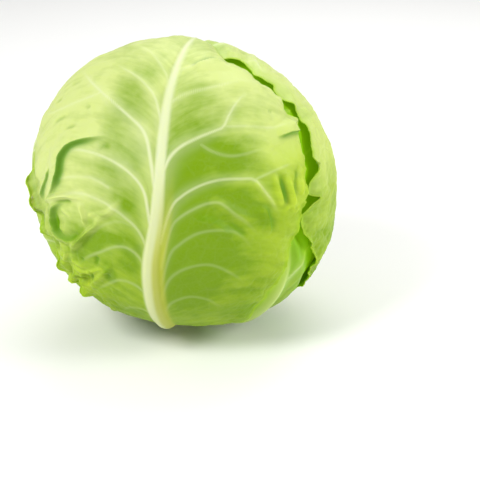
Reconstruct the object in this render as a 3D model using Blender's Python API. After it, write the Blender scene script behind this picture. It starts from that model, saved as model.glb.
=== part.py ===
"""A round cabbage head, standing on its cut stalk.

Five wrapper leaves lie one over another round a tight heart, the front leaf outermost.
Each leaf is drawn on a plane wrapped round the head: x runs across the leaf and y along
its midrib, from the stalk towards the tip, both in degrees of turn round the head's middle.
A leaf's height over the heart is the sum of what lies under it there, so no two leaves cross.
The head's outside is even: where more leaves lie one over another, the heart is drawn in.
"""

import math

import bmesh
import bpy
import numpy as np
from mathutils.geometry import delaunay_2d_cdt

# Driving sizes, in metres
HEAD_RADIUS = 0.0840  # of the even outside, before veins and waves
MIDDLE_HEIGHT = 0.0800  # of the head's middle over the surface that it stands on
BLADE = 0.0012  # thickness of a leaf between its ribs
CLEARANCE = 0.0009  # between one leaf and the next
STALK_RADIUS = 0.0150
STALK_GAP = 0.0014  # between the stalk and the heart, over the middle of its top

# The head is a little longer along one slanting line than across it
LONG_AXIS = np.array([0.81, 0.0, -0.58])
LONG_SHARE = 0.029
# and drawn in where the leaves meet the stalk, and a little at the crown
DIMPLE_DEPTH = 0.0110
DIMPLE_ANGLE = 30.0
CROWN_DEPTH = 0.0020
CROWN_ANGLE = 42.0

# How an upper leaf climbs over the margin and midrib of a lower one
COVER_CLEAR = 0.009  # it has all its lift this far before the margin
COVER_SLOPE = 0.016  # and gains it over this length
RIB_SLOPE = 0.020

# Midrib and veins
RIB_HEIGHT = 0.0034  # over the blade at the base, falling to the tip
RIB_TIP_HEIGHT = 0.0008
RIB_HALF_WIDTH = 0.0078
RIB_TIP_HALF_WIDTH = 0.0028
COVERED_RIB = 0.45  # share of a rib's height where another leaf presses on it
VEIN_HEIGHT = 0.0011
VEIN_HALF_WIDTH = 0.0030
PUFF = 0.0010  # the blade swells between the veins
PUFF_LENGTH = 0.034
LAYER = BLADE + CLEARANCE + 0.4 * PUFF  # room that one leaf takes

# Margins
RUFFLE_ZONE = 0.017  # how far in from the margin the waves reach
BARE_RUN = 0.011  # a lower leaf's waves begin this far from an upper leaf
MARGIN_POINTS = 80
INSET_RINGS = ((0.0065, 44), (0.0150, 30))  # depth, and number of points
RIDGE_STEP = 0.0120
FOLD_STEP = 0.0070
FILL_STEP = 0.0155
FILL_APART = 0.0062

METRES_PER_DEGREE = math.radians(1.0) * 0.082

LEAF_GREEN = (0.52, 0.70, 0.17, 1.0)
HEART_GREEN = (0.62, 0.76, 0.28, 1.0)
STALK_CREAM = (0.80, 0.80, 0.55, 1.0)


def smooth_step(t):
    t = np.clip(t, 0.0, 1.0)
    return t * t * (3.0 - 2.0 * t)


def through_points(points, closed, steps):
    """A smooth curve through hand-placed points, as an array of (x, y)."""
    p = np.array(points, float)
    if closed:
        p = np.vstack([p[-1], p, p[:2]])
    else:
        p = np.vstack([2 * p[0] - p[1], p, 2 * p[-1] - p[-2]])
    t = np.linspace(0.0, 1.0, steps, endpoint=False)[:, None]
    runs = []
    for a, b, c, d in zip(p[:-3], p[1:-2], p[2:-1], p[3:]):
        runs.append(
            0.5 * (2 * b + (c - a) * t + (2 * a - 5 * b + 4 * c - d) * t**2 + (3 * b - a - 3 * c + d) * t**3)
        )
    curve = np.vstack(runs)
    return curve if closed else np.vstack([curve, p[-2]])


def resampled(curve, count, closed):
    """The same curve as points an equal way apart."""
    line = np.vstack([curve, curve[:1]]) if closed else curve
    run = np.concatenate([[0.0], np.cumsum(np.linalg.norm(np.diff(line, axis=0), axis=1))])
    at = np.linspace(0.0, run[-1], count, endpoint=not closed)
    return np.column_stack([np.interp(at, run, line[:, k]) for k in (0, 1)])


def nearest(path, x, y):
    """The way to a path, how far along it the nearest place is, from 0 to 1, and on which side."""
    start, run = path[:-1], np.diff(path, axis=0)
    from_x, from_y = x[:, None] - start[:, 0], y[:, None] - start[:, 1]
    share = np.clip((from_x * run[:, 0] + from_y * run[:, 1]) / (run**2).sum(-1), 0.0, 1.0)
    away = np.hypot(from_x - share * run[:, 0], from_y - share * run[:, 1])
    best = away.argmin(axis=1)
    rows = np.arange(len(away))
    side = np.sign(run[best, 0] * from_y[rows, best] - run[best, 1] * from_x[rows, best])
    return away[rows, best], (best + share[rows, best]) / len(run), side


def soft_noise(x, y, wave, seed):
    """Gentle unevenness from 0 to 1 with about this wavelength, in degrees on the leaf's plane."""
    draw = np.random.default_rng(seed)
    total = np.zeros_like(x)
    for _ in range(6):
        turn, phase = draw.uniform(0.0, math.tau, 2)
        length = wave * draw.uniform(0.7, 1.4)
        total += np.sin(math.tau * (x * math.cos(turn) + y * math.sin(turn)) / length + phase)
    return 0.5 + total / 12.0


class Leaf:
    """One wrapper leaf, drawn on its own plane round the head."""

    def __init__(self, name, facing, tilt, outline, midrib, veins, folds, ruffle, waves, seed):
        a, e = math.radians(facing), math.radians(tilt)
        self.name = name
        self.centre = np.array([math.sin(a) * math.cos(e), -math.cos(a) * math.cos(e), math.sin(e)])
        self.across = np.array([math.cos(a), math.sin(a), 0.0])
        self.along = np.cross(self.across, self.centre) * -1.0
        if self.along[2] < 0:
            self.along = -self.along
        self.edge = through_points(outline, True, 8)
        self.midrib = through_points(midrib, False, 6)
        self.veins = [self.vein_path(*vein) for vein in veins]
        self.folds = [(through_points(path, False, 5), *sizes) for path, *sizes in folds]
        self.ruffle = np.array(ruffle, float)
        self.waves = waves
        self.seed = seed

    def vein_path(self, side, start, length, rise, droop):
        """A side vein leaves the midrib steeply, bends outwards and droops towards the margin."""
        t = np.linspace(0.0, 1.0, 13) ** 1.5
        x = np.interp(start, self.midrib[:, 1], self.midrib[:, 0]) + side * length * t
        return np.column_stack([x, start + rise * np.sqrt(t) - droop * t**3])

    def directions(self, x, y):
        turn = np.radians(np.hypot(x, y))
        around = np.arctan2(y, x)
        return (
            np.cos(turn)[:, None] * self.centre
            + (np.sin(turn) * np.cos(around))[:, None] * self.across
            + (np.sin(turn) * np.sin(around))[:, None] * self.along
        )

    def plane(self, n):
        turn = np.degrees(np.arccos(np.clip(n @ self.centre, -1.0, 1.0)))
        around = np.arctan2(n @ self.along, n @ self.across)
        return turn * np.cos(around), turn * np.sin(around)

    def within(self, x, y):
        """How far inside the margin a point is, in metres, below 0 outside."""
        away, _, _ = nearest(np.vstack([self.edge, self.edge[:1]]), x, y)
        reach_turn = np.arctan2(self.edge[:, 1], self.edge[:, 0])
        order = np.argsort(reach_turn)
        reach = np.interp(
            np.arctan2(y, x), reach_turn[order], np.hypot(*self.edge[order].T), period=math.tau
        )
        return np.where(np.hypot(x, y) < reach, away, -away) * METRES_PER_DEGREE

    def rib(self, x, y, spread=0.0):
        """Height of the midrib over the blade. Spread widens it, for the leaf that lies on it."""
        away, t, _ = nearest(self.midrib, x, y)
        half = RIB_HALF_WIDTH + (RIB_TIP_HALF_WIDTH - RIB_HALF_WIDTH) * t
        height = RIB_HEIGHT + (RIB_TIP_HEIGHT - RIB_HEIGHT) * np.sqrt(t)
        away = away * METRES_PER_DEGREE
        if spread:
            return height * smooth_step((half + spread - away) / spread)
        return height * smooth_step(1.0 - away / half)

    def vein_relief(self, x, y):
        """Height of the side veins over the blade."""
        most = np.zeros_like(x)
        for path in self.veins:
            away, t, _ = nearest(path, x, y)
            half = VEIN_HALF_WIDTH * (1.0 - 0.4 * t)
            height = VEIN_HEIGHT * (1.0 - 0.6 * t)
            most = np.maximum(most, height * smooth_step(1.0 - away * METRES_PER_DEGREE / half))
        return most

    def fold_relief(self, x, y):
        """Height of the blade's folds: gentle to the left of the line and steep to its right."""
        most = np.zeros_like(x)
        for path, height, gentle, steep in self.folds:
            away, t, side = nearest(path, x, y)
            width = np.where(side > 0, gentle, steep) / METRES_PER_DEGREE
            ends = smooth_step(6.0 * t) * smooth_step(6.0 * (1.0 - t))
            most = np.maximum(most, height * ends * smooth_step(1.0 - away / width))
        return most

    def waves_at(self, x, y):
        """Height of the margin's waves, in step with the turn round the leaf."""
        around = np.arctan2(y, x)
        turns, heights = self.ruffle.T
        height = 0.001 * np.interp(np.degrees(around) % 360.0, turns, heights, period=360.0)
        phase = self.seed * 1.7
        big = np.sin(self.waves * around + phase)
        small = np.sin((1.7 * self.waves + 1.0) * around + 2.0 * phase)
        return height * np.clip(0.5 + 0.38 * big + 0.22 * small, 0.0, 1.0)


def cover(leaf, n):
    """1 where a leaf lies, and just beyond its margin, easing to 0 further out."""
    inside = leaf.within(*leaf.plane(n))
    return smooth_step((inside + COVER_CLEAR + COVER_SLOPE) / COVER_SLOPE)


def heart_radius(n):
    """Distance of the heart's surface from the middle: the outside, less the leaves over it."""
    axis = LONG_AXIS / np.linalg.norm(LONG_AXIS)
    stretch = 1.0 + LONG_SHARE * (2.0 * (n @ axis) ** 2 - 1.0)
    from_stalk = np.degrees(np.arccos(np.clip(-n[:, 2], -1.0, 1.0)))
    dimple = DIMPLE_DEPTH * np.exp(-((from_stalk / DIMPLE_ANGLE) ** 2))
    crown = CROWN_DEPTH * np.exp(-(((180.0 - from_stalk) / CROWN_ANGLE) ** 2))
    leaves = sum(cover(leaf, n) for leaf in LEAVES)
    return HEAD_RADIUS * stretch - dimple - crown - LAYER * leaves


def heart_surface(n):
    """The heart itself, a little inside the first leaf, with margins and ribs in relief."""
    relief = np.zeros(len(n))
    turned = n * (-1.0, -1.0, 1.0)
    for leaf in LEAVES:
        x, y = leaf.plane(turned)
        relief += 0.0006 * smooth_step(leaf.within(x, y) / 0.006) + 0.15 * leaf.rib(x, y)
    return heart_radius(n) - 0.0036 + relief


def bare(order, n):
    """1 where no outer leaf lies on this one or near it, and 0 under the outer leaves."""
    free = np.ones(len(n))
    for outer in LEAVES[order + 1 :]:
        inside = outer.within(*outer.plane(n))
        free *= 1.0 - smooth_step((inside + BARE_RUN) / BARE_RUN)
    return free


def lift(order, n):
    """Height of a leaf's inner face over the heart: all that lies between them."""
    total = np.full(len(n), CLEARANCE)
    for below, inner in enumerate(LEAVES[:order]):
        x, y = inner.plane(n)
        rib = inner.rib(x, y, RIB_SLOPE) * (COVERED_RIB + (1.0 - COVERED_RIB) * bare(below, n))
        total += cover(inner, n) * (LAYER + rib)
    return total


def swell(order, n):
    """How far a leaf stands out to the head's even outside, beside the outer leaves."""
    return LAYER * sum(cover(outer, n) for outer in LEAVES[order + 1 :])


def leaf_faces(order, x, y):
    """Points of a leaf's outer and inner faces over places on its plane."""
    leaf = LEAVES[order]
    n = leaf.directions(x, y)
    free = bare(order, n)
    near_margin = smooth_step(1.0 - leaf.within(x, y) / RUFFLE_ZONE)
    ruffle = near_margin * leaf.waves_at(x, y)
    puff = PUFF * (0.4 + 0.6 * free) * soft_noise(x, y, PUFF_LENGTH / METRES_PER_DEGREE, leaf.seed)
    inner = heart_radius(n) + lift(order, n) + puff * (1.0 - near_margin)
    inner += free * (swell(order, n) + ruffle + leaf.fold_relief(x, y))
    ribs = leaf.rib(x, y) * (COVERED_RIB + (1.0 - COVERED_RIB) * free)
    veins = leaf.vein_relief(x, y) * free
    outer = inner + BLADE + np.maximum(ribs, veins)
    middle = np.array([0.0, 0.0, MIDDLE_HEIGHT])
    return middle + n * outer[:, None], middle + n * inner[:, None]


def ridge_lines(leaf):
    """Lines of plane points along the crest and both flanks of the midrib and of each vein."""
    lines = []
    ribs = [(leaf.midrib, RIB_HALF_WIDTH, RIB_TIP_HALF_WIDTH)]
    ribs += [(path[3:], VEIN_HALF_WIDTH, 0.6 * VEIN_HALF_WIDTH) for path in leaf.veins]
    for path, half, tip_half in ribs:
        length = np.linalg.norm(np.diff(path, axis=0), axis=1).sum() * METRES_PER_DEGREE
        crest = resampled(path, max(3, round(length / RIDGE_STEP) + 1), False)
        way = np.gradient(crest, axis=0)
        side = np.column_stack([-way[:, 1], way[:, 0]]) / np.linalg.norm(way, axis=1)[:, None]
        width = np.linspace(half, tip_half, len(crest))[:, None] / METRES_PER_DEGREE
        lines += [crest, crest + side * width, crest - side * width]
    for path, _, _, steep in leaf.folds:
        length = np.linalg.norm(np.diff(path, axis=0), axis=1).sum() * METRES_PER_DEGREE
        crest = resampled(path, max(3, round(length / FOLD_STEP) + 1), False)
        way = np.gradient(crest, axis=0)
        side = np.column_stack([way[:, 1], -way[:, 0]]) / np.linalg.norm(way, axis=1)[:, None]
        lines += [crest, crest + side * steep / METRES_PER_DEGREE]
    return lines


def plan_of(leaf):
    """Plane points of a leaf and the lines that its triangles have to follow."""
    margin = resampled(leaf.edge, MARGIN_POINTS, True)
    points = [tuple(p) for p in margin]
    lines = [(k, (k + 1) % MARGIN_POINTS) for k in range(MARGIN_POINTS)]
    for line in ridge_lines(leaf):
        deep = leaf.within(*line.T) > 0.003
        line = line[deep]
        first = len(points)
        points += [tuple(p) for p in line]
        lines += [(first + k, first + k + 1) for k in range(len(line) - 1)]
    fill = []
    for depth, count in INSET_RINGS:
        ring = resampled(leaf.edge, count, True)
        far = np.hypot(*ring.T)
        fill += list(ring * (1.0 - depth / METRES_PER_DEGREE / far)[:, None])
    step = FILL_STEP / METRES_PER_DEGREE
    low, high = leaf.edge.min(axis=0), leaf.edge.max(axis=0)
    for row, y in enumerate(np.arange(low[1], high[1], step * 0.866)):
        for x in np.arange(low[0], high[0], step):
            fill.append(np.array([x + 0.5 * step * (row % 2), y]))
    deep_enough = leaf.within(*np.array(fill).T) > 0.7 * INSET_RINGS[0][0]
    for place in (p for p, deep in zip(fill, deep_enough) if deep):
        apart = np.linalg.norm(np.array(points) - place, axis=1).min()
        if apart * METRES_PER_DEGREE > FILL_APART:
            points.append(tuple(place))
    return points, lines


def new_object(name, bm, colour, roughness):
    """A smooth-shaded object with its own material."""
    mesh = bpy.data.meshes.new(name)
    bmesh.ops.recalc_face_normals(bm, faces=bm.faces)
    bm.to_mesh(mesh)
    bm.free()
    mesh.shade_smooth()
    mesh.set_sharp_from_angle(angle=math.radians(50.0))
    material = bpy.data.materials.new(name)
    material.use_nodes = True
    shader = material.node_tree.nodes["Principled BSDF"]
    shader.inputs["Base Color"].default_value = colour
    shader.inputs["Roughness"].default_value = roughness
    mesh.materials.append(material)
    made = bpy.data.objects.new(name, mesh)
    bpy.context.scene.collection.objects.link(made)
    return made


def build_leaf(order):
    """A thin closed sheet: its inner face is triangulated on the plane, then extruded outwards."""
    leaf = LEAVES[order]
    points, lines = plan_of(leaf)
    flat, _, triangles, _, _, _ = delaunay_2d_cdt(points, lines, [], 0, 0.25)
    x, y = np.array([tuple(p) for p in flat]).T
    corners = np.array(triangles)
    kept = leaf.within(x[corners].mean(axis=1), y[corners].mean(axis=1)) > 0.0
    outer, inner = leaf_faces(order, x, y)
    bm = bmesh.new()
    number = bm.verts.layers.int.new("number")
    verts = [bm.verts.new(p) for p in inner]
    for k, vert in enumerate(verts):
        vert[number] = k
    for triangle in corners[kept]:
        bm.faces.new([verts[k] for k in triangle])
    bmesh.ops.delete(bm, geom=[v for v in bm.verts if not v.link_faces], context="VERTS")
    raised = bmesh.ops.extrude_face_region(bm, geom=bm.faces[:])["geom"]
    for vert in (g for g in raised if isinstance(g, bmesh.types.BMVert)):
        vert.co = outer[vert[number]]
    new_object(leaf.name, bm, LEAF_GREEN, 0.45)


def build_heart():
    """The tight ball of inner leaves, with their overlapped margins and ribs as relief."""
    bm = bmesh.new()
    bmesh.ops.create_uvsphere(bm, u_segments=40, v_segments=20, radius=1.0)
    n = np.array([v.co for v in bm.verts], float)
    n /= np.linalg.norm(n, axis=1)[:, None]
    for vert, way, r in zip(bm.verts, n, heart_surface(n)):
        vert.co = way * r + np.array([0.0, 0.0, MIDDLE_HEIGHT])
    new_object("heart", bm, HEART_GREEN, 0.5)


def build_stalk():
    """The stump that the leaves grow from, cut flat below."""
    top = MIDDLE_HEIGHT - heart_surface(np.array([[0.0, 0.0, -1.0]]))[0] - STALK_GAP
    profile = [
        (0.0, 0.0),
        (STALK_RADIUS - 0.0010, 0.0),
        (STALK_RADIUS, 0.0010),
        (STALK_RADIUS - 0.0005, 0.0040),
        (STALK_RADIUS - 0.0050, top),
        (0.0, top),
    ]
    bm = bmesh.new()
    verts = [bm.verts.new((r, 0.0, z)) for r, z in profile]
    edges = [bm.edges.new(pair) for pair in zip(verts[:-1], verts[1:])]
    bmesh.ops.spin(
        bm, geom=verts + edges, cent=(0, 0, 0), axis=(0, 0, 1), angle=math.tau, steps=32, use_merge=True
    )
    bmesh.ops.remove_doubles(bm, verts=bm.verts, dist=1e-6)
    new_object("stalk", bm, STALK_CREAM, 0.6)


def side_veins(count, lowest, highest, length, rise, droop):
    """Side veins in pairs along the midrib, the right one a little above the left one."""
    rows = []
    for k in range(count):
        share = k / (count - 1)
        start = lowest + (highest - lowest) * share
        shorter = 1.0 - 0.45 * abs(share - 0.4)
        rows.append((-1, start, length * shorter, rise, droop))
        rows.append((1, start + 4.0, length * shorter, rise, droop))
    return rows


def margin_waves(height):
    """Heights in mm of the waves at turns round the leaf: full at its sides, none at its stalk."""
    tip = 0.4 * height
    return [(0, height), (40, tip), (140, tip), (180, height), (250, height), (262, 0), (278, 0), (290, height)]


# Innermost first. Each leaf stands about 137 degrees round the stalk from the one outside it.
LEAVES = []
LEAVES.append(
    Leaf(
        "leaf_back", 182.0, 6.0,
        [(0, -84), (9, -83), (17, -79), (32, -66), (46, -50), (56, -30), (62, -5), (63, 20), (54, 48),
         (38, 70), (14, 82), (-12, 80), (-38, 68), (-55, 45), (-63, 18), (-62, -8), (-55, -30), (-44, -50),
         (-31, -66), (-17, -79), (-9, -83)],
        [(0, -84), (1, -40), (0, 0), (-2, 40), (0, 76)],
        side_veins(5, -42.0, 34.0, 40.0, 26.0, 10.0), [], margin_waves(3.0), 11, 1,
    )
)
LEAVES.append(
    Leaf(
        "leaf_right", 44.5, 6.0,
        [(0, -84), (9, -83), (17, -79), (33, -66), (47, -50), (58, -30), (63, -5), (62, 20), (54, 46),
         (40, 68), (16, 80), (-10, 82), (-36, 72), (-54, 48), (-62, 18), (-62, -8), (-54, -30), (-43, -50),
         (-31, -66), (-17, -79), (-9, -83)],
        [(0, -84), (-1, -40), (0, 0), (2, 40), (1, 76)],
        side_veins(5, -40.0, 32.0, 42.0, 24.0, 9.0), [], margin_waves(3.0), 12, 2,
    )
)
LEAVES.append(
    Leaf(
        "leaf_left", -93.0, 5.0,
        [(0, -83), (9, -82), (17, -78), (32, -65), (46, -50), (58, -30), (64, -5), (62, 22), (54, 50),
         (38, 72), (12, 86), (-14, 84), (-40, 70), (-56, 46), (-64, 18), (-62, -8), (-54, -32), (-42, -50),
         (-30, -65), (-17, -78), (-9, -82)],
        [(0, -83), (1, -40), (-1, 0), (0, 40), (-2, 78)],
        side_veins(5, -42.0, 36.0, 44.0, 26.0, 10.0), [], margin_waves(4.0), 12, 3,
    )
)
LEAVES.append(
    Leaf(
        "leaf_right_back", 129.5, 5.0,
        [(0, -83), (9, -82), (16, -78), (29, -66), (43, -50), (57, -32), (65, -5), (65, 20), (56, 50),
         (38, 74), (14, 88), (-8, 88), (-20, 78), (-24.5, 68), (-29, 61.5), (-37, 54), (-42, 44), (-43, 38),
         (-50, 31.5), (-59, 24.5), (-66, 16), (-70.5, 8), (-74, -1), (-74, -12), (-66, -27), (-54, -41),
         (-40, -54), (-27, -67), (-16, -78), (-9, -82)],
        [(0, -83), (-1, -40), (0, 0), (1, 40), (2, 78)],
        side_veins(6, -44.0, 40.0, 46.0, 28.0, 12.0), [],
        [(0, 2.5), (60, 1.0), (110, 1.0), (135, 2.5), (155, 5.0), (205, 5.0), (235, 3.0), (262, 0),
         (278, 0), (300, 2.5)], 13, 4,
    )
)
LEAVES.append(
    Leaf(
        "leaf_front", -10.0, 8.0,
        [(-1, -86), (8, -85), (16, -81), (25, -72), (35, -58), (44, -41), (52, -22), (57, -4), (60, 3),
         (62, 13), (62.5, 24), (62, 34), (62.5, 41), (57.5, 48), (47, 58), (36, 65.5), (27, 69), (22, 76),
         (15, 92), (-4, 106), (-28, 107), (-54, 95), (-72, 76), (-80, 56), (-79, 38), (-71, 20), (-65, 9),
         (-61, 0), (-56, -8), (-52, -14), (-46, -24), (-40, -34), (-32, -41), (-28, -53), (-23, -67),
         (-16, -80), (-9, -85)],
        [(-1, -86), (-2, -50), (-1.2, -22), (1.8, -3), (2.8, 15), (2.6, 45), (4, 76), (5, 90)],
        [(-1, -32, 34, 20, 8), (-1, -21, 30, 14, 10), (-1, -11, 42, 21, 9), (-1, 1, 36, 25, 6),
         (-1, 16, 46, 33, 14), (-1, 33, 26, 28, 4), (-1, 50, 34, 20, 2), (1, -30, 40, 20, 12),
         (1, -18, 38, 24, 16), (1, -10, 36, 26, 20), (1, 12, 40, 34, 4), (1, 35, 36, 24, 3)],
        [([(-45, 3), (-41, 10), (-39, 16), (-34, 22), (-26, 26), (-17, 28)], 0.0042, 0.015, 0.0035),
         ([(-64, 14), (-60, 7), (-57, 0), (-52, -8)], 0.0050, 0.008, 0.006),
         ([(-36, 4), (-43, -4), (-40, -13), (-32, -15)], 0.0026, 0.007, 0.008),
         ([(53, 1), (51, 9), (48, 16)], 0.0024, 0.006, 0.005),
         ([(26, 68), (16, 64), (6, 60)], 0.0020, 0.010, 0.0035),
         ([(61, 37), (54, 34), (48, 31)], 0.0024, 0.008, 0.0035)],
        [(0, 3.0), (20, 2.0), (35, 0.8), (70, 0.3), (150, 0.3), (165, 1.5), (174, 5.0), (186, 5.0),
         (196, 3.5), (240, 3.5), (262, 0), (278, 0), (300, 2.0)], 13, 5,
    )
)


def main():
    for old in list(bpy.data.objects):
        bpy.data.objects.remove(old)
    build_stalk()
    build_heart()
    for order in range(len(LEAVES)):
        build_leaf(order)


main()
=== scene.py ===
"""Looks for a round cabbage head: wrapper leaves, heart, cut stalk and a pale studio floor.

Each leaf is drawn on a plane wrapped round the head: x runs across the leaf and y along its
midrib, from the stalk towards the tip, both in degrees of turn round the head's middle.
"""

import math

import bpy
import numpy as np
from mathutils import Matrix, Vector


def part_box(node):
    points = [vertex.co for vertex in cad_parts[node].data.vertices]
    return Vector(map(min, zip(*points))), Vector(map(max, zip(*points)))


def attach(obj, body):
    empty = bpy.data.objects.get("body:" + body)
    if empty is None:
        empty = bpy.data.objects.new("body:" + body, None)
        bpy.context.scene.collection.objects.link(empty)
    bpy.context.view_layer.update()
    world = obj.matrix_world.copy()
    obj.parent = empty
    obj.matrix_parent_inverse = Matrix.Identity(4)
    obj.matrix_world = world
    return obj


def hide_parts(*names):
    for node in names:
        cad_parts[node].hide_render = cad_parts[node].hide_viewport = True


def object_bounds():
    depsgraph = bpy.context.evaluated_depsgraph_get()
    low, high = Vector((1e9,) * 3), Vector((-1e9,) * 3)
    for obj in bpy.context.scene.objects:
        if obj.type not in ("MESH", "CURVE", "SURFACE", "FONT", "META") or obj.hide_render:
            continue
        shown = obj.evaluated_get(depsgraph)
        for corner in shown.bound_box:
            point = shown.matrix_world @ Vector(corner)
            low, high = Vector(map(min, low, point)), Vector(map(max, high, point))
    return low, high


bl_info = {
    "name": "Cabbage Head",
    "version": (1, 0, 0),
    "blender": (4, 5, 0),
    "location": "3D View > Sidebar > Cabbage",
    "description": "Builds a round cabbage head from ribbed, wavy wrapper leaves",
    "category": "Add Mesh",
}

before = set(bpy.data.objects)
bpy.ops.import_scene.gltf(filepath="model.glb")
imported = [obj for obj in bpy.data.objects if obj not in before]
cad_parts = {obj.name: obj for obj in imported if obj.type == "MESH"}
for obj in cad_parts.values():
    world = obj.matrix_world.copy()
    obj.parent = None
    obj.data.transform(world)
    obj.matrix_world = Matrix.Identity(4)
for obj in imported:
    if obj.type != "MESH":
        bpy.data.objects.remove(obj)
CAD_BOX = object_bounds()


def linear(code):
    """An sRGB hex colour as linear red, green and blue."""
    parts = [int(code[k : k + 2], 16) / 255.0 for k in (1, 3, 5)]
    return tuple(c / 12.92 if c <= 0.04045 else ((c + 0.055) / 1.055) ** 2.4 for c in parts)


# Lengths are in metres and angles in degrees, unless a name or a comment says otherwise.
MM = 0.001

# The head's long axis slants, and its crown and stalk end are drawn in
LONG_AXIS = np.array([0.8130, 0.0, -0.5822])
LONG_SHARE = 0.029
DIMPLE_DEPTH, DIMPLE_ANGLE = 0.0110, 30.0
CROWN_DEPTH, CROWN_ANGLE = 0.0020, 42.0

# How an upper leaf climbs over the margin and midrib of a lower one
COVER_CLEAR = 0.009
COVER_SLOPE = 0.016
RIB_SLOPE = 0.020
COVERED_RIB = 0.45

# How far from an outer leaf's margin the blade under it is flattened, given a painted glow and
# given a painted shade
BARE_RUN = 0.011
GAP_RUN = 0.007
SHADE_RUN = 0.020

# The midrib, from its base to its tip, and the side veins
RIB_HEIGHT, RIB_TIP_HEIGHT = 0.0034, 0.0008
RIB_HALF_WIDTH, RIB_TIP_HALF_WIDTH = 0.0072, 0.0035
VEIN_HEIGHT = 0.0009
SIDE_VEIN_MM, FORK_MM = 2.6, 1.5
LEAST_PALE_MM = 0.95

# Broad unevenness of the blade, and how far in from the margin its other reliefs begin
PUFF, PUFF_LENGTH = 0.0010, 0.034
RUFFLE_ZONE = 0.017
FRILL_ZONE = 0.010
THIN_ZONE = 0.010
HUG_ZONE, HUG_DEPTH = 0.009, 0.0008
ROUGH_ZONE = 0.034
JAG_SHARE = 0.010
STREAK_HEIGHT = 0.00045

# A fold's lip slides over its steep side, and its crevice lies just outside that side, where a
# painted shadow darkens it
LIP_GENTLE_MM, LIP_STEEP_MM = 5.0, 1.9
CREVICE_FROM_MM, CREVICE_WIDTH_MM = 1.3, 2.3

# The tightest curl of a rolled margin, and how far round it goes, in radians
LEAST_CURL = 0.0015
MOST_CURL = 3.4

# How strongly the rings of the grid crowd together at folds and at tall creases
FOLD_PULL, CREASE_PULL = 3.6, 1.7
TALL_CREASE_MM = 1.1
PULL_SHARE = 0.018
RING_SAMPLES, TURN_SAMPLES = 241, 721

# Columns and rings of a leaf's outer face. Its inner face keeps every eighth ring, and the
# last few rings follow the rolled margin.
FRONT_GRID, WRAPPER_GRID = (560, 152), (430, 112)
INNER_STEP = 8
MARGIN_RINGS = 12
# How far inside the solids' box a point starts to be eased back from it
BOX_EASE = 0.0016

# One degree of turn, measured on the head's even outside
MEAN_RADIUS = 0.082
METRES_PER_DEGREE = math.radians(1.0) * MEAN_RADIUS
MM_PER_DEGREE = 1000.0 * METRES_PER_DEGREE

# Patterns of the relief, in degrees of the leaf's plane, where one degree is 1.43 mm:
# streaks of 21 by 7 mm and 10 by 4 mm, blisters of 9 and 4 mm, ridges of 5 mm between them,
# crumples of 4 mm on lumps, and a warp that bends them all
STREAK_CELL, SMALL_STREAK_CELL = (15.0, 5.2), (7.0, 2.6)
BLISTER_CELL, SMALL_BLISTER_CELL = 6.4, 2.9
RIDGE_CELL, LUMP_CELL = 3.4, 2.7
WARP, WARP_CELL = 1.6, 5.0
# Nicks of 4 and 2 mm in the margin, and crinkles of 7 mm along it, as (circle, cell)
NICK, SMALL_NICK, CRINKLE = (40.0, 1.7), (40.0, 0.8), (60.0, 4.2)
# The painted shade of the midrib's right flank, an olive strip, and its weaker tint over the
# midrib, measured from the middle of the midrib
FLANK_MM, FLANK_HALF_MM, RIB_TINT_MM = 4.6, 3.4, 5.0
NOISE_TABLE = 64

# The cut stalk: its grid, how much it narrows, the knife's chamfer, leaf scars and fibres
STALK_COLUMNS, STALK_ROWS = 144, 46
STALK_WAIST = 0.0050
CHAMFER, CHAMFER_HEIGHT = 0.0009, 0.0007
SCARS, GOLDEN_ANGLE = 7, 137.5
SCAR_OUT, SCAR_HALF_TURN, SCAR_HALF_HEIGHT = 0.0006, 0.36, 0.0009
FIBRE_DEPTH = 0.00012

# The heart: its grid, how far it lies under the solid's surface, and its leaves' edges and ribs
HEART_COLUMNS, HEART_ROWS = 224, 112
HEART_SUNK = 0.0036
HEART_EDGE, HEART_EDGE_RUN, HEART_RIB_SHARE = 0.0006, 0.006, 0.15

# The stage: a floor, even daylight, and area lights as (name, place, width, watts)
FLOOR_HALF = 3.0
DAYLIGHT = 0.45
SOFTBOXES = (
    ("key_softbox", (-0.60, -0.60, 0.80), 0.40, 9.0),
    ("rim_softbox", (0.80, -0.20, 0.45), 0.35, 4.2),
    ("back_softbox", (0.15, 0.65, 0.90), 0.90, 5.8),
)
LIGHT_AIM = Vector((0.0, 0.0, 0.06))
CAMERA_PLACE = (0.0309, -0.7059, 0.3315)
CAMERA_TILT = math.radians(22.0)


def margin_waves(height):
    """Heights in mm of the waves at turns round the leaf: full at its sides, none at its stalk."""
    tip = 0.4 * height
    return [
        (0, height), (40, tip), (140, tip), (180, height), (250, height), (262, 0), (278, 0),
        (290, height)]


def side_veins(count, lowest, highest, length, rise, droop):
    """Side veins in pairs: each leaves the midrib steeply, bends outwards, droops and forks."""
    rows = []
    for k in range(count):
        share = k / (count - 1)
        start = lowest + (highest - lowest) * share
        shorter = length * (1.0 - 0.45 * abs(share - 0.4))
        for side, step in ((-1, 0.0), (1, 4.0)):
            t = np.linspace(0.0, 1.0, 9) ** 1.5
            y = start + step + rise * np.sqrt(t) - droop * t**3
            rows.append((SIDE_VEIN_MM, list(zip(side * shorter * t, y))))
            # A thin branch leaves it near its tip and turns upwards
            tip = 5 + k % 2
            fork = [(0.0, 0.0), (0.10, 7.0), (0.30, 12.0)]
            fork = [(side * shorter * (t[tip] + out), y[tip] + up) for out, up in fork]
            rows.append((FORK_MM, fork))
    return rows
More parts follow.
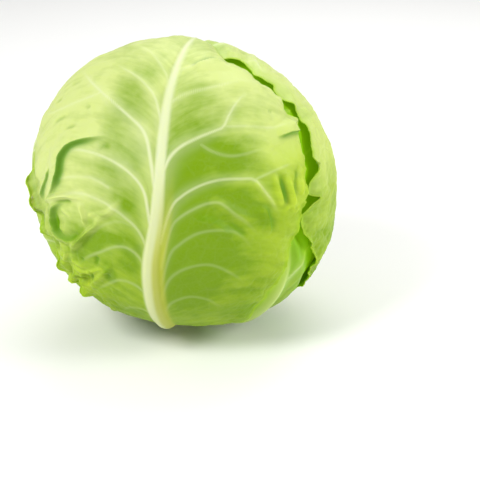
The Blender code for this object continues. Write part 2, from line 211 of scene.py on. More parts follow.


# One row per leaf, innermost first. Facing and tilt turn the leaf's middle round the head and
# up, and the outline, the midrib and all other points lie on the leaf's plane, in degrees.
# Veins: (half width in mm at the start, points).
# Folds: (points, height, gentle side, steep side, overhang), all but the points in mm, with
#     the gentle side to the left of the line.
# Creases: (points, height, half width) in mm, with a minus for a hollow.
# Lumps: (x, y, half width, half height, mm) of a crumpled swelling.
# Patches: (x, y, half width, half height, strength) of a deeper green, or a paler one below 0.
# Some are the leaf's own colour; the deeper ones beside the front leaf's midrib are partly painted
# shade, and the paler ones at the head's right are painted light.
# Tables round the leaf start with a turn in degrees:
#     longer (turn, degrees by which the margin reaches past the outline),
#     frill (turn, mm of the small crinkles), ruffle (turn, mm of the margin's waves),
#     rolls (turn, mm of margin rolled, mm of radius, with a minus for one rolled inwards),
#     busy (turn, half width, how many more columns of the grid there).
# Waves is the number of waves round the leaf, jag and blister scale its nicks and blisters,
# and shade scales the painted shade, a deeper green, and the painted glow where an outer leaf
# covers it.
PLAIN_LEAF = {
    "folds": [], "creases": [], "lumps": [], "busy": [], "patches": [],
    "longer": [(0, 0)], "frill": [(0, 1.1)], "rolls": [(0, 3, 3), (180, 3, 3)]}
LEAF_PLANS = [
    {
        **PLAIN_LEAF, "name": "leaf_back", "shade": 0.3, "facing": 182.0, "tilt": 6.0,
        "outline": [
            (0, -84), (9, -83), (17, -79), (32, -66), (46, -50), (56, -30), (62, -5), (63, 20),
            (54, 48), (38, 70), (14, 82), (-12, 80), (-38, 68), (-55, 45), (-63, 18), (-62, -8),
            (-55, -30), (-44, -50), (-31, -66), (-17, -79), (-9, -83)],
        "midrib": [(0, -84), (1, -40), (0, 0), (-2, 40), (0, 76)],
        "veins": side_veins(5, -42.0, 34.0, 40.0, 26.0, 10.0),
        "ruffle": margin_waves(3.0), "waves": 11, "seed": 1, "blister": 0.5, "jag": 0.6,
    },
    {
        **PLAIN_LEAF, "name": "leaf_right", "shade": 1.0, "facing": 44.5, "tilt": 6.0,
        "outline": [
            (0, -84), (9, -83), (17, -79), (33, -66), (47, -50), (58, -30), (63, -5), (62, 20),
            (54, 46), (40, 68), (16, 80), (-10, 82), (-36, 72), (-54, 48), (-62, 18), (-62, -8),
            (-54, -30), (-43, -50), (-31, -66), (-17, -79), (-9, -83)],
        "midrib": [(0, -84), (-1, -40), (0, 0), (2, 40), (1, 76)],
        "veins": side_veins(5, -40.0, 32.0, 42.0, 24.0, 9.0),
        "ruffle": margin_waves(3.0), "waves": 12, "seed": 2, "blister": 0.4, "jag": 0.6,
    },
    {
        **PLAIN_LEAF, "name": "leaf_left", "shade": 0.2, "facing": -93.0, "tilt": 5.0,
        "outline": [
            (0, -83), (9, -82), (17, -78), (32, -65), (46, -50), (58, -30), (64, -5), (62, 22),
            (54, 50), (38, 72), (12, 86), (-14, 84), (-40, 70), (-56, 46), (-64, 18), (-62, -8),
            (-54, -32), (-42, -50), (-30, -65), (-17, -78), (-9, -82)],
        "midrib": [(0, -83), (1, -40), (-1, 0), (0, 40), (-2, 78)],
        "veins": side_veins(5, -42.0, 36.0, 44.0, 26.0, 10.0),
        "ruffle": margin_waves(4.0), "waves": 12, "seed": 3, "blister": 0.5, "jag": 0.8,
    },
    {
        **PLAIN_LEAF, "name": "leaf_right_back", "shade": 0.3, "facing": 129.5, "tilt": 5.0,
        "outline": [
            (0, -83), (9, -82), (16, -78), (29, -66), (43, -50), (57, -32), (65, -5), (65, 20),
            (56, 50), (38, 74), (14, 88), (-8, 88), (-20, 78), (-24.5, 68), (-29, 61.5), (-37, 54),
            (-42, 44), (-43, 38), (-50, 31.5), (-59, 24.5), (-66, 16), (-70.5, 8), (-74, -1),
            (-74, -12), (-66, -27), (-54, -41), (-40, -54), (-27, -67), (-16, -78), (-9, -82)],
        "midrib": [(0, -83), (-1, -40), (0, 0), (1, 40), (2, 78)],
        "veins": side_veins(6, -44.0, 40.0, 46.0, 28.0, 12.0),
        "lumps": [(-76, 3, 6, 9, 0.8), (-66, 10, 7, 7, 0.4)],
        "longer": [(98, 0), (108, -4), (113, 0), (118, 2.6), (122, 1), (125, -1.3), (128, 1.2),
                   (132, 1.6), (141, 1.4), (146, 0), (161, 0.7), (167, -1), (170, 1.5), (174, 1.8),
                   (176, -1), (178, 3.3), (180, 6), (184, 5), (192, 2), (200, 0)],
        "frill": [(0, 1.1), (100, 0.5), (150, 0.8), (160, 2.4), (205, 2.4), (225, 1.1)],
        "rolls": [(0, 1, 3), (100, 1, 3), (112, 1.5, 2), (150, 1.5, 2), (160, 1.5, 2),
                  (164, 6, 2.0), (168, 1.5, 2), (174, 1.5, 2), (176.5, 5.5, 2), (179, 1.5, 2),
                  (192, 2, 2.2), (205, 2, 2.5), (240, 1, 3)],
        "ruffle": [(0, 2.5), (60, 1.0), (110, 0.3), (150, 0.4), (162, 1.0), (166, 3.0), (170, 0.8),
                   (174, 1.0), (177, 2.5), (181, 1.0), (205, 3.0), (235, 3.0), (262, 0), (278, 0),
                   (300, 2.5)],
        "waves": 13, "seed": 4, "blister": 1.0, "jag": 0.6, "busy": [(168, 30, 1.2)],
        "patches": [(-50, 36, 26, 24, -0.65), (-54, -10, 14, 14, 0.15)],
    },
    {
        "name": "leaf_front", "shade": 0.0, "facing": -10.0, "tilt": 8.0,
        "outline": [
            (-1, -86), (8, -85), (16, -81), (25, -72), (35, -58), (44, -41), (52, -22), (57, -4),
            (60, 3), (62, 13), (62.5, 24), (62, 34), (62.5, 41), (57.5, 48), (47, 58), (36, 65.5),
            (27, 69), (22, 76), (15, 92), (-4, 106), (-28, 107), (-54, 95), (-72, 76), (-80, 56),
            (-79, 38), (-71, 20), (-65, 9), (-61, 0), (-56, -8), (-52, -14), (-46, -24),
            (-40, -34), (-32, -41), (-28, -53), (-23, -67), (-16, -80), (-9, -85)],
        "midrib": [(-1, -86), (-2, -50), (-1.2, -22), (1.8, -3), (2.8, 15), (2.6, 45), (4, 76),
                   (5, 90)],
        "veins": [
            (2.2, [(2.6, 29), (0.6, 36), (-3, 44), (-9, 50), (-17, 55), (-27, 60)]),
            (3.2, [(1.8, 8), (-0.6, 19), (-4, 29), (-11, 35), (-21, 41.5), (-26, 44.5), (-38, 52),
                   (-50, 60)]),
            (1.8, [(-26, 44.5), (-34.5, 41), (-49, 36.5), (-62, 34)]),
            (2.8, [(0.6, -8), (-0.8, 2), (-2.6, 9), (-7, 14), (-14, 18), (-23, 20.6), (-32, 21),
                   (-38, 18)]),
            (1.5, [(-16, 9), (-21, 11), (-26, 11.7), (-37, 10), (-44, 6)]),
            (2.0, [(-0.6, -20), (-2, -11), (-4.5, -5.4), (-8.5, -1.6), (-16.5, 3), (-26, 5.5),
                   (-34, 4.4), (-42, 0)]),
            (1.0, [(-5, -5), (-8.5, -3.4), (-12, -2.8), (-17, -4.5), (-22, -8), (-26, -14)]),
            (1.5, [(-1.4, -32), (-3, -21), (-5, -15.7), (-9, -12.8), (-14, -13), (-20, -16),
                   (-27, -20), (-34, -26)]),
            (1.4, [(-2, -44), (-4, -34), (-8, -29), (-14, -28), (-22, -33), (-28, -38)]),
            (1.3, [(-2, -56), (-4, -48), (-8, -44), (-14, -45), (-20, -52)]),
            (1.5, [(2.6, 46), (0, 54), (-6, 62), (-14, 70), (-24, 76)]),
            (1.8, [(2.8, 34), (4, 41), (9, 46), (22, 52), (32, 57)]),
            (1.4, [(3, 52), (5, 58), (12, 63), (20, 66)]),
            (3.0, [(3, 12), (5.4, 20), (9.5, 25), (16, 29), (22, 32), (25, 34), (27.5, 40),
                   (32, 47.5), (40, 53)]),
            (1.6, [(25, 34), (36, 34.5), (46, 35), (55, 38)]),
            (1.3, [(16.8, 26.5), (21.7, 23.8), (27.8, 22.5), (34, 23.5), (44, 27)]),
            (2.2, [(3.4, -10), (7.2, 3), (11, 7.7), (17, 11.4), (24, 13.6), (31.5, 14),
                   (37.4, 13.5), (41.5, 8.7), (45.4, 3.3), (49, -3)]),
            (1.3, [(37.4, 13.5), (46, 17), (55, 20)]),
            (1.4, [(3.4, -20), (7, -5), (10.4, 0), (17.4, 4.2), (23, 5.6), (26.4, 4), (30.6, 0.5),
                   (35, -3), (43, -12)]),
            (1.2, [(2.6, -28), (6.7, -14.5), (10.4, -10), (16, -6.2), (22, -4.8), (27, -5),
                   (33, -8), (40, -18)]),
            (1.2, [(1.2, -38), (5, -27), (9, -22), (15, -19), (22, -19), (30, -24), (36, -31)]),
            (1.2, [(0, -50), (4, -40), (8, -36), (14, -34), (21, -37), (28, -45)]),
        ],
        "folds": [
            ([(-48, -4), (-44, 3), (-40.7, 8.7), (-39.5, 12), (-39.4, 15), (-38.6, 18.5),
              (-36, 21.8), (-32.7, 23.9), (-27.6, 25.6), (-22.4, 26.9),
              (-16, 28)], 3.8, 13, 2.4, 1.1),
            ([(-52, -2), (-49.5, 4), (-47, 9), (-45.5, 14)], 2.4, 5, 2.2, 0.8),
            ([(-27, -7), (-29.5, -12), (-34, -14.4), (-38.5, -14.3), (-42, -12.2), (-43.7, -8.5),
              (-43.6, -5), (-42, -1.8), (-38, 0.8), (-33, 2.3)], 2.6, 5, 2.2, 0.5),
            ([(44, -9), (43, -2), (41, 4)], 1.4, 5, 2.5, 0.3),
            ([(27, 69), (18, 67), (14, 64), (9, 60.5)], 1.4, 9, 1.8, 0.6),
            ([(47, 31), (53.3, 33.6), (58.2, 35), (66, 37)], 2.0, 8, 2.0, 0.9),
            ([(30, -8), (22, -2), (15, -1)], 1.3, 7, 4, 0.0),
        ],
        "creases": [
            ([(-46.3, -1.6), (-45.4, 0), (-40, 2.2), (-34, 3.6), (-28, 3.7),
              (-24.5, 2.7)], 3.0, 1.7),
            ([(-46.3, -1.6), (-47.3, -7), (-47, -12), (-45.7, -14.6)], 1.6, 1.5),
            ([(-37, -21.5), (-33, -17), (-29, -13), (-24.5, -8.3), (-21.3, -5.6),
              (-19.6, -2)], 3.2, 1.5),
            ([(-28.6, 3), (-27.2, 0), (-26, -3.4), (-26.8, -7.6)], 2.2, 1.4),
            ([(-23, -5.4), (-18.5, -1.7), (-14.4, 1.4), (-9.2, 7.3)], 1.4, 1.7),
            ([(-40.8, -2.5), (-41.6, -7), (-40.8, -11), (-38, -12.8)], -1.4, 1.8),
            ([(-43, 0), (-36, 1.8), (-31, 1.9)], -1.4, 1.5),
            ([(-42.4, -24.3), (-38.8, -23.9), (-34.8, -22.9)], -0.7, 2.4),
            ([(-39.4, -26.8), (-33.5, -27.7), (-26.9, -27.5), (-20.4, -24.6)], 1.4, 1.6),
            ([(-35.6, -40), (-26.7, -31.8), (-20.2, -25.5), (-15.6, -19.8)], 1.9, 1.7),
            ([(-20, -24.5), (-19.2, -27.3), (-18.5, -30.2)], -1.0, 2.0),
            ([(-42, -16), (-38, -20), (-42, -27)], 2.2, 1.4),
            ([(47.7, 17), (49.4, 11), (50.8, 6), (52.2, 1.2)], -1.8, 1.7),
            ([(45.4, 17.2), (46.8, 11), (48.1, 5.7), (49.2, 1)], 1.5, 1.7),
            ([(51.2, 17), (52.6, 10.8), (54.0, 5.7), (54.6, 1)], 2.0, 1.7),
            ([(57.6, 21), (56, 14.7), (55.5, 8.6), (56, 3)], -0.9, 1.5),
            ([(60, 16), (59.5, 10), (59, 5)], 1.2, 1.5),
            ([(49.9, -0.5), (52.2, 2.1), (55.2, -0.1), (58.3, 2)], 1.4, 1.3),
            ([(37, 14), (38.2, 12.3), (41.5, 8.3), (45, 4), (48.5, -0.5)], 1.1, 1.1),
            ([(26.3, -0.8), (29.5, -3.5), (33, -6.5), (36, -9)], -0.9, 1.6),
            ([(18, 5.8), (21, 6.2), (25.2, 4.8), (29.8, 2), (34, -1), (40, -4)], 1.5, 2.8),
            ([(-25, -2.6), (-23.2, -1.8), (-20, -0.8), (-16.8, -0.5), (-14, -0.8)], 1.1, 1.3),
            ([(-38.5, -1.6), (-37, -2), (-35.2, -3), (-33.2, -4), (-32, -5.2)], 0.9, 1.1),
            ([(-29, -27.6), (-27.5, -26.8), (-24.2, -25.2), (-21.8, -24.2),
              (-20, -23.8)], 1.2, 1.2),
            ([(-26.3, -25.8), (-26.5, -26.8), (-27, -30), (-28.2, -34.8)], -1.3, 1.3),
            ([(-22, -18.5), (-22.5, -19.8), (-24, -23.8)], -1.0, 1.3),
            ([(-36, -23.4), (-34.5, -23.8), (-31.2, -24.5), (-27.5, -24.2)], 1.2, 1.2),
            ([(-28.8, -20.4), (-29.5, -21.5), (-29.8, -22.8)], -0.8, 1.2),
            ([(-50.4, 30.2), (-45.3, 32.9), (-40.5, 34.7)], -0.7, 1.4),
            ([(-41.6, 28), (-37, 29.5), (-32.3, 30.1)], -0.7, 1.4),
            ([(-32.2, 37.4), (-28.7, 39.1)], -0.6, 1.4),
            ([(-22.8, 21.7), (-19.3, 23.5), (-15.9, 23)], -0.7, 1.6),
            ([(-54.9, 40), (-50, 42.8)], -0.6, 1.4),
            ([(44, 43), (47, 42.5)], -0.6, 1.3),
        ],
        "lumps": [(-38, -34, 12, 11, 2.6), (-42, -16, 7, 7, 1.0), (-35, -7, 6, 6, 0.8),
                  (55, -2, 6, 4, 0.8), (-58, 2, 8, 12, 0.7)],
        "longer": [(0, 0), (2, 1), (5, 2.3), (11, 1.6), (16, 1.4), (21, 0), (31, 0), (33.5, 3),
                   (36, 0), (38, -2.8), (41, -0.5), (44, 2.6), (48, 2), (56, 0.2), (61, 1.8),
                   (67, 2.5), (72, 0), (198, 0), (204, 3.5), (228, 4), (238, 2), (246, 0)],
        "frill": [(0, 1.6), (12, 1.1), (24, 0.4), (100, 0.3), (165, 0.4), (175, 1.2), (200, 2.2),
                  (206, 3.6), (236, 3.6), (246, 1.2), (262, 0.4), (280, 0.4), (300, 1.1),
                  (350, 1.6)],
        "rolls": [(0, 2, 2.4), (6, 1, -2.4), (20, 2.5, -2.4), (60, 2.5, -2.4), (78, 2, -2.4),
                  (95, 0, 3), (162, 0, 3), (171, 2, 2.4), (174, 7, 2.4), (186, 8, 2.4),
                  (190, 2, 2.4), (196, 4, 2.0), (202, 1.5, 2), (212, 4, 1.8), (219, 1.5, 2),
                  (226, 4, 1.8), (236, 1.5, 2), (262, 0, 3), (280, 0, 3), (300, 1, 3), (345, 2, 3),
                  (352, 2, 2.4)],
        "ruffle": [(0, 3.0), (20, 2.0), (35, 0.8), (70, 0.3), (150, 0.3), (168, 0.6), (174, 3.0),
                   (186, 3.0), (194, 2.0), (240, 2.0), (262, 0), (278, 0), (300, 2.0)],
        "waves": 13, "seed": 5, "blister": 0.6, "jag": 1.2,
        "busy": [(190, 40, 0.9), (14, 22, 0.8), (32, 2.5, 2.0)],
        "patches": [(-7, 6, 5, 40, 0.14), (-50, 9, 6, 7, -0.5), (7, 0, 4, 26, 0.45),
                    (13, 2, 9, 30, 0.60), (20, -16, 15, 12, 0.45), (25, 22, 14, 6, 0.50),
                    (30, 7, 10, 7, 0.45), (48, -12, 12, 12, -0.20), (16, 42, 10, 14, 0.20),
                    (-23, -13, 7, 6, 0.40), (-38, -7, 5, 5, -0.25), (-36, -34, 12, 12, -0.15),
                    (-33, -20, 5, 4, 0.35), (-14.8, -9.8, 4, 1.8, 0.35), (-8.5, 3, 4, 3.5, 0.22),
                    (-17.8, -25, 2.2, 4, 0.5), (-28, 2, 9, 7, -0.22), (40, 60, 22, 10, -0.35),
                    (52, 30, 9, 10, -0.55), (35.5, 3, 6, 3.5, 0.30), (43, -3, 4, 3, 0.25),
                    (-34, 12, 14, 9, -0.30), (-50, 35, 22, 22, -0.30), (56, 12, 5, 10, -0.2),
                    (-16, 22, 6, 16, 0.25), (-12, 52, 8, 16, 0.18)],
    },
]


class HeadSizes(bpy.types.PropertyGroup):
    """Sizes of the head and of its leaf blades."""

    head_radius: bpy.props.FloatProperty(
        name="Head radius",
        description="Radius of the head's even outside, before its veins and waves",
        default=0.0840,
        unit="LENGTH",
        subtype="DISTANCE",
        precision=4,
    )
    middle_height: bpy.props.FloatProperty(
        name="Middle height",
        description="Height of the head's middle over the surface that it stands on",
        default=0.080,
        unit="LENGTH",
        subtype="DISTANCE",
        precision=4,
    )
    blade: bpy.props.FloatProperty(
        name="Blade thickness",
        description="Thickness of a leaf between its ribs",
        default=0.0012,
        unit="LENGTH",
        subtype="DISTANCE",
        precision=4,
    )
    edge: bpy.props.FloatProperty(
        name="Edge thickness",
        description="Thickness of a leaf at its margin",
        default=0.0006,
        unit="LENGTH",
        subtype="DISTANCE",
        precision=4,
    )
    clearance: bpy.props.FloatProperty(
        name="Clearance",
        description="Air between one leaf and the next",
        default=0.0009,
        unit="LENGTH",
        subtype="DISTANCE",
        precision=4,
    )
    stalk_radius: bpy.props.FloatProperty(
        name="Stalk radius",
        description="Radius of the cut stalk",
        default=0.0150,
        unit="LENGTH",
        subtype="DISTANCE",
        precision=4,
    )
    blister: bpy.props.FloatProperty(
        name="Blister height",
        description="How far the blade swells between its finest veins",
        default=0.0007,
        unit="LENGTH",
        subtype="DISTANCE",
        precision=4,
    )


class HeadColours(bpy.types.PropertyGroup):
    """Colours of the leaves, the stalk and the floor."""

    # Laid where the bloom is: partly the waxy cuticle, partly painted sheen where the key light
    # falls
    blade_light: bpy.props.FloatVectorProperty(
        name="Light blade",
        description="Leaf blade where the cuticle is thick and pale",
        default=linear("#c4d180"),
        subtype="COLOR",
        size=3,
    )
    blade_fresh: bpy.props.FloatVectorProperty(
        name="Fresh blade",
        description="Light blade low on the leaf, where it has little bloom",
        default=linear("#b0c832"),
        subtype="COLOR",
        size=3,
    )
    blade_deep: bpy.props.FloatVectorProperty(
        name="Deep blade",
        description="Leaf blade between the veins, where it is greenest",
        default=linear("#759900"),
        subtype="COLOR",
        size=3,
    )
    vein: bpy.props.FloatVectorProperty(
        name="Ribs and veins",
        description="Pale tissue of the midrib and the side veins",
        default=linear("#d2d9ac"),
        subtype="COLOR",
        size=3,
    )
    # Painted shade: the deeper green laid under and beside the outer leaves, and the colour of the
    # painted glow
    inner: bpy.props.FloatVectorProperty(
        name="Shaded blade",
        description="Saturated green of the blade under the outer leaves",
        default=linear("#7cb200"),
        subtype="COLOR",
        size=3,
    )
    # Painted shade on the veins under the outer leaves, and painted light on thin margins as if lit
    # through
    shaded_vein_lit_edge: bpy.props.FloatVectorProperty(
        name="Shaded veins and edges",
        description="Veins under the outer leaves, and thin margins that light shines through",
        default=linear("#a3c42a"),
        subtype="COLOR",
        size=3,
    )
    # Painted shade, laid in the hollows of folds and creases
    hollow_shade: bpy.props.FloatVectorProperty(
        name="Hollows",
        description="Deep green at the bottom of folds and creases",
        default=linear("#478200"),
        subtype="COLOR",
        size=3,
    )
    # Painted shade on the midrib's right flank
    flank_shade: bpy.props.FloatVectorProperty(
        name="Midrib flank",
        description="Olive strip beside the base of the midrib",
        default=linear("#b4ba40"),
        subtype="COLOR",
        size=3,
    )
    stalk: bpy.props.FloatVectorProperty(
        name="Cut stalk",
        description="Cream pith of the cut stalk",
        default=linear("#e6e2bd"),
        subtype="COLOR",
        size=3,
    )
    floor: bpy.props.FloatVectorProperty(
        name="Floor",
        description="Pale studio floor",
        default=linear("#f4f4f2"),
        subtype="COLOR",
        size=3,
    )


def smooth_step(t):
    """Eases from 0 to 1 as t goes from 0 to 1."""
    t = np.clip(t, 0.0, 1.0)
    return t * t * (3.0 - 2.0 * t)


def through_points(points, closed, steps):
    """A smooth curve through given points, as an array of (x, y)."""
    p = np.array(points, float)
    if closed:
        p = np.vstack([p[-1], p, p[:2]])
    else:
        p = np.vstack([2 * p[0] - p[1], p, 2 * p[-1] - p[-2]])
    t = np.linspace(0.0, 1.0, steps, endpoint=False)[:, None]
    runs = []
    for a, b, c, d in zip(p[:-3], p[1:-2], p[2:-1], p[3:]):
        bend = (2 * a - 5 * b + 4 * c - d) * t**2 + (3 * b - a - 3 * c + d) * t**3
        runs.append(0.5 * (2 * b + (c - a) * t + bend))
    curve = np.vstack(runs)
    return curve if closed else np.vstack([curve, p[-2]])


def near_path(path, x, y, width):
    """Way to a path in degrees, how far along it from 0 to 1, which side, and the way across.

    Points further than the width keep an endless distance, which saves measuring them.
    """
    away, along = np.full(len(x), 1e3), np.zeros(len(x))
    side, across = np.ones(len(x)), np.zeros((len(x), 2))
    low, high = path.min(axis=0) - width, path.max(axis=0) + width
    near = np.flatnonzero((x > low[0]) & (x < high[0]) & (y > low[1]) & (y < high[1]))
    start, run = path[:-1], np.diff(path, axis=0)
    from_x, from_y = x[near, None] - start[:, 0], y[near, None] - start[:, 1]
    share = np.clip((from_x * run[:, 0] + from_y * run[:, 1]) / (run**2).sum(-1), 0.0, 1.0)
    ways = np.hypot(from_x - share * run[:, 0], from_y - share * run[:, 1])
    best = ways.argmin(axis=1)
    rows = np.arange(len(near))
    away[near] = ways[rows, best]
    along[near] = (best + share[rows, best]) / len(run)
    side[near] = np.sign(run[best, 0] * from_y[rows, best] - run[best, 1] * from_x[rows, best])
    way = np.gradient(path, axis=0)
    turn = share[rows, best][:, None]
    way = way[best] * (1.0 - turn) + way[best + 1] * turn
    across[near] = np.column_stack([way[:, 1], -way[:, 0]]) / np.linalg.norm(way, axis=1)[:, None]
    return away, along, side, across


def soft_noise(x, y, wave, seed):
    """Gentle unevenness from 0 to 1 with about this wavelength, in degrees on the leaf's plane."""
    draw = np.random.default_rng(seed)
    total = np.zeros_like(x)
    for _ in range(6):
        turn, phase = draw.uniform(0.0, math.tau, 2)
        length = wave * draw.uniform(0.7, 1.4)
        total += np.sin(math.tau * (x * math.cos(turn) + y * math.sin(turn)) / length + phase)
    return 0.5 + total / 12.0


def crumple_noise(x, y, size, seed):
    """Value noise from -1 to 1 with this grid size, one number or a width and a height."""
    table = np.random.default_rng(seed).uniform(-1.0, 1.0, (NOISE_TABLE, NOISE_TABLE))
    wide, high = np.broadcast_to(size, 2)
    u, v = x / wide, y / high
    i, j = np.floor(u).astype(int), np.floor(v).astype(int)
    s, t = smooth_step(u - i), smooth_step(v - j)
    left, right = i % NOISE_TABLE, (i + 1) % NOISE_TABLE
    below, above = j % NOISE_TABLE, (j + 1) % NOISE_TABLE
    low = table[left, below] * (1 - s) + table[right, below] * s
    high = table[left, above] * (1 - s) + table[right, above] * s
    return low * (1 - t) + high * t


def cell_noise(x, y, size, seed):
    """How far a point is from the border of its cell, about 0 at the border and 1 in the middle."""
    jitter = np.random.default_rng(seed).uniform(0.1, 0.9, (NOISE_TABLE, NOISE_TABLE, 2))
    u, v = x / size, y / size
    i, j = np.floor(u).astype(int), np.floor(v).astype(int)
    first, second = np.full(len(x), 9.0), np.full(len(x), 9.0)
    for di in (-1, 0, 1):
        for dj in (-1, 0, 1):
            spot = jitter[(i + di) % NOISE_TABLE, (j + dj) % NOISE_TABLE]
            away = np.hypot(i + di + spot[:, 0] - u, j + dj + spot[:, 1] - v)
            second = np.minimum(second, np.maximum(first, away))
            first = np.minimum(first, away)
    return np.clip(1.4 * (second - first), 0.0, 1.0)


def margin_noise(around, pattern, seed):
    """Noise from -1 to 1 at turns round the leaf, on a circle, so it closes on itself."""
    circle, cell = pattern
    return crumple_noise(circle * np.cos(around), circle * np.sin(around), cell, seed)


def soft_oval(x, y, place):
    """1 in the middle of an oval, easing to 0 outside it. Its place also gives its half sizes."""
    middle_x, middle_y, wide, high = place
    return np.exp(-(((x - middle_x) / wide) ** 2) - ((y - middle_y) / high) ** 2)


class LeafPlane:
    """One leaf's plan, with the turn between its plane and the head."""

    def __init__(self, plan):
        a, e = math.radians(plan["facing"]), math.radians(plan["tilt"])
        self.plan = plan
        self.centre = np.array([math.sin(a) * math.cos(e), -math.cos(a) * math.cos(e), math.sin(e)])
        self.across = np.array([math.cos(a), math.sin(a), 0.0])
        self.along = np.cross(self.centre, self.across)
        edge = through_points(plan["outline"], True, 8)
        turn = np.arctan2(edge[:, 1], edge[:, 0])
        order = np.argsort(turn)
        self.turns = np.radians(np.arange(0.0, 360.0, 0.5))
        self.reaches = np.interp(self.turns, turn[order], np.hypot(*edge[order].T), period=math.tau)
        self.reaches += self.by_turn("longer", self.turns)
        closed = np.concatenate([self.reaches[-1:], self.reaches, self.reaches[:1]])
        slope = np.gradient(closed)[1:-1]
        self.squares = self.reaches / np.hypot(self.reaches, slope / math.radians(0.5))
        self.midrib = through_points(plan["midrib"], False, 6)

    def directions(self, x, y):
        """Unit ways from the head's middle to points of the leaf's plane."""
        turn = np.radians(np.hypot(x, y))
        around = np.arctan2(y, x)
        return (
            np.cos(turn)[:, None] * self.centre
            + (np.sin(turn) * np.cos(around))[:, None] * self.across
            + (np.sin(turn) * np.sin(around))[:, None] * self.along
        )

    def plane(self, n):
        """The points of the leaf's plane that these unit ways go through."""
        turn = np.degrees(np.arccos(np.clip(n @ self.centre, -1.0, 1.0)))
        around = np.arctan2(n @ self.along, n @ self.across)
        return turn * np.cos(around), turn * np.sin(around)

    def rib_x(self, y):
        """Where the middle of the midrib lies at this height of the plane."""
        return np.interp(y, self.midrib[:, 1], self.midrib[:, 0])

    def reach(self, around):
        """How far out the margin lies at these turns round the leaf, in degrees."""
        return np.interp(around, self.turns, self.reaches, period=math.tau)

    def within(self, x, y):
        """How far inside the margin a point is, in metres, below 0 outside."""
        around = np.arctan2(y, x)
        square = np.interp(around, self.turns, self.squares, period=math.tau)
        return (self.reach(around) - np.hypot(x, y)) * square * METRES_PER_DEGREE

    def rib(self, x, y, spread=0.0):
        """Height of the midrib over the blade. Spread widens it, for the leaf that lies on it."""
        width = (RIB_HALF_WIDTH + spread) / METRES_PER_DEGREE
        away, t, _, _ = near_path(self.midrib, x, y, width)
        half = RIB_HALF_WIDTH + (RIB_TIP_HALF_WIDTH - RIB_HALF_WIDTH) * t
        height = RIB_HEIGHT + (RIB_TIP_HEIGHT - RIB_HEIGHT) * np.sqrt(t)
        away = away * METRES_PER_DEGREE
        if spread:
            return height * smooth_step((half + spread - away) / spread)
        return height * smooth_step(1.15 * (1.0 - away / half))

    def by_turn(self, key, around, column=1):
        """One column of a table in the plan, read off at these turns round the leaf."""
        table = np.array(self.plan[key], float)
        return np.interp(np.degrees(around) % 360.0, table[:, 0], table[:, column], period=360.0)

    def waves_at(self, around):
        """Height of the margin's waves, in step with the turn round the leaf."""
        height = MM * self.by_turn("ruffle", around)
        phase = self.plan["seed"] * 1.7
        big = np.sin(self.plan["waves"] * around + phase)
        small = np.sin((1.7 * self.plan["waves"] + 1.0) * around + 2.0 * phase)
        return height * np.clip(0.5 + 0.38 * big + 0.22 * small, 0.0, 1.0)


LEAVES = [LeafPlane(plan) for plan in LEAF_PLANS]


def cover(leaf, n):
    """1 where a leaf lies, and just beyond its margin, easing to 0 further out."""
    inside = leaf.within(*leaf.plane(n))
    return smooth_step((inside + COVER_CLEAR + COVER_SLOPE) / COVER_SLOPE)


def layer(sizes):
    """Room that one leaf takes, with some of its unevenness."""
    return sizes.blade + sizes.clearance + 0.4 * PUFF


def heart_radius(n, sizes):
    """Distance of the heart's surface from the middle: the outside, less the leaves over it."""
    stretch = 1.0 + LONG_SHARE * (2.0 * (n @ LONG_AXIS) ** 2 - 1.0)
    from_stalk = np.degrees(np.arccos(np.clip(-n[:, 2], -1.0, 1.0)))
    dimple = DIMPLE_DEPTH * np.exp(-((from_stalk / DIMPLE_ANGLE) ** 2))
    crown = CROWN_DEPTH * np.exp(-(((180.0 - from_stalk) / CROWN_ANGLE) ** 2))
    leaves = sum(cover(leaf, n) for leaf in LEAVES)
    return sizes.head_radius * stretch - dimple - crown - layer(sizes) * leaves


def bare(order, n, run=BARE_RUN):
    """1 where no outer leaf lies on this one or near it, and 0 under the outer leaves."""
    free = np.ones(len(n))
    for outer in LEAVES[order + 1 :]:
        inside = outer.within(*outer.plane(n))
        free *= 1.0 - smooth_step((inside + run) / run)
    return free


def lift(order, n, sizes):
    """Height of a leaf's inner face over the heart: all that lies between them."""
    total = np.full(len(n), sizes.clearance)
    for below, inner in enumerate(LEAVES[:order]):
        x, y = inner.plane(n)
        rib = inner.rib(x, y, RIB_SLOPE) * (COVERED_RIB + (1.0 - COVERED_RIB) * bare(below, n))
        total += cover(inner, n) * (layer(sizes) + rib)
    return total


def swell(order, n, sizes):
    """How far a leaf stands out to the head's even outside, beside the outer leaves."""
    return layer(sizes) * sum(cover(outer, n) for outer in LEAVES[order + 1 :])


def spread_by(density, count):
    """Places from 0 to 1, as close together as this density along the way asks for."""
    total = np.concatenate([[0.0], np.cumsum(0.5 * (density[1:] + density[:-1]))])
    return np.interp(np.linspace(0.0, total[-1], count), total, np.linspace(0.0, 1.0, len(density)))


def column_turns(leaf, count):
    """Turns of the grid's columns round the leaf, closer together where the leaf is crumpled."""
    turns = np.linspace(0.0, 360.0, TURN_SAMPLES)
    density = np.ones_like(turns)
    for middle, half, extra in leaf.plan["busy"]:
        apart = (turns - middle + 180.0) % 360.0 - 180.0
        density += extra * np.exp(-((apart / half) ** 2))
    return math.tau * spread_by(density, count + 1)[:-1]


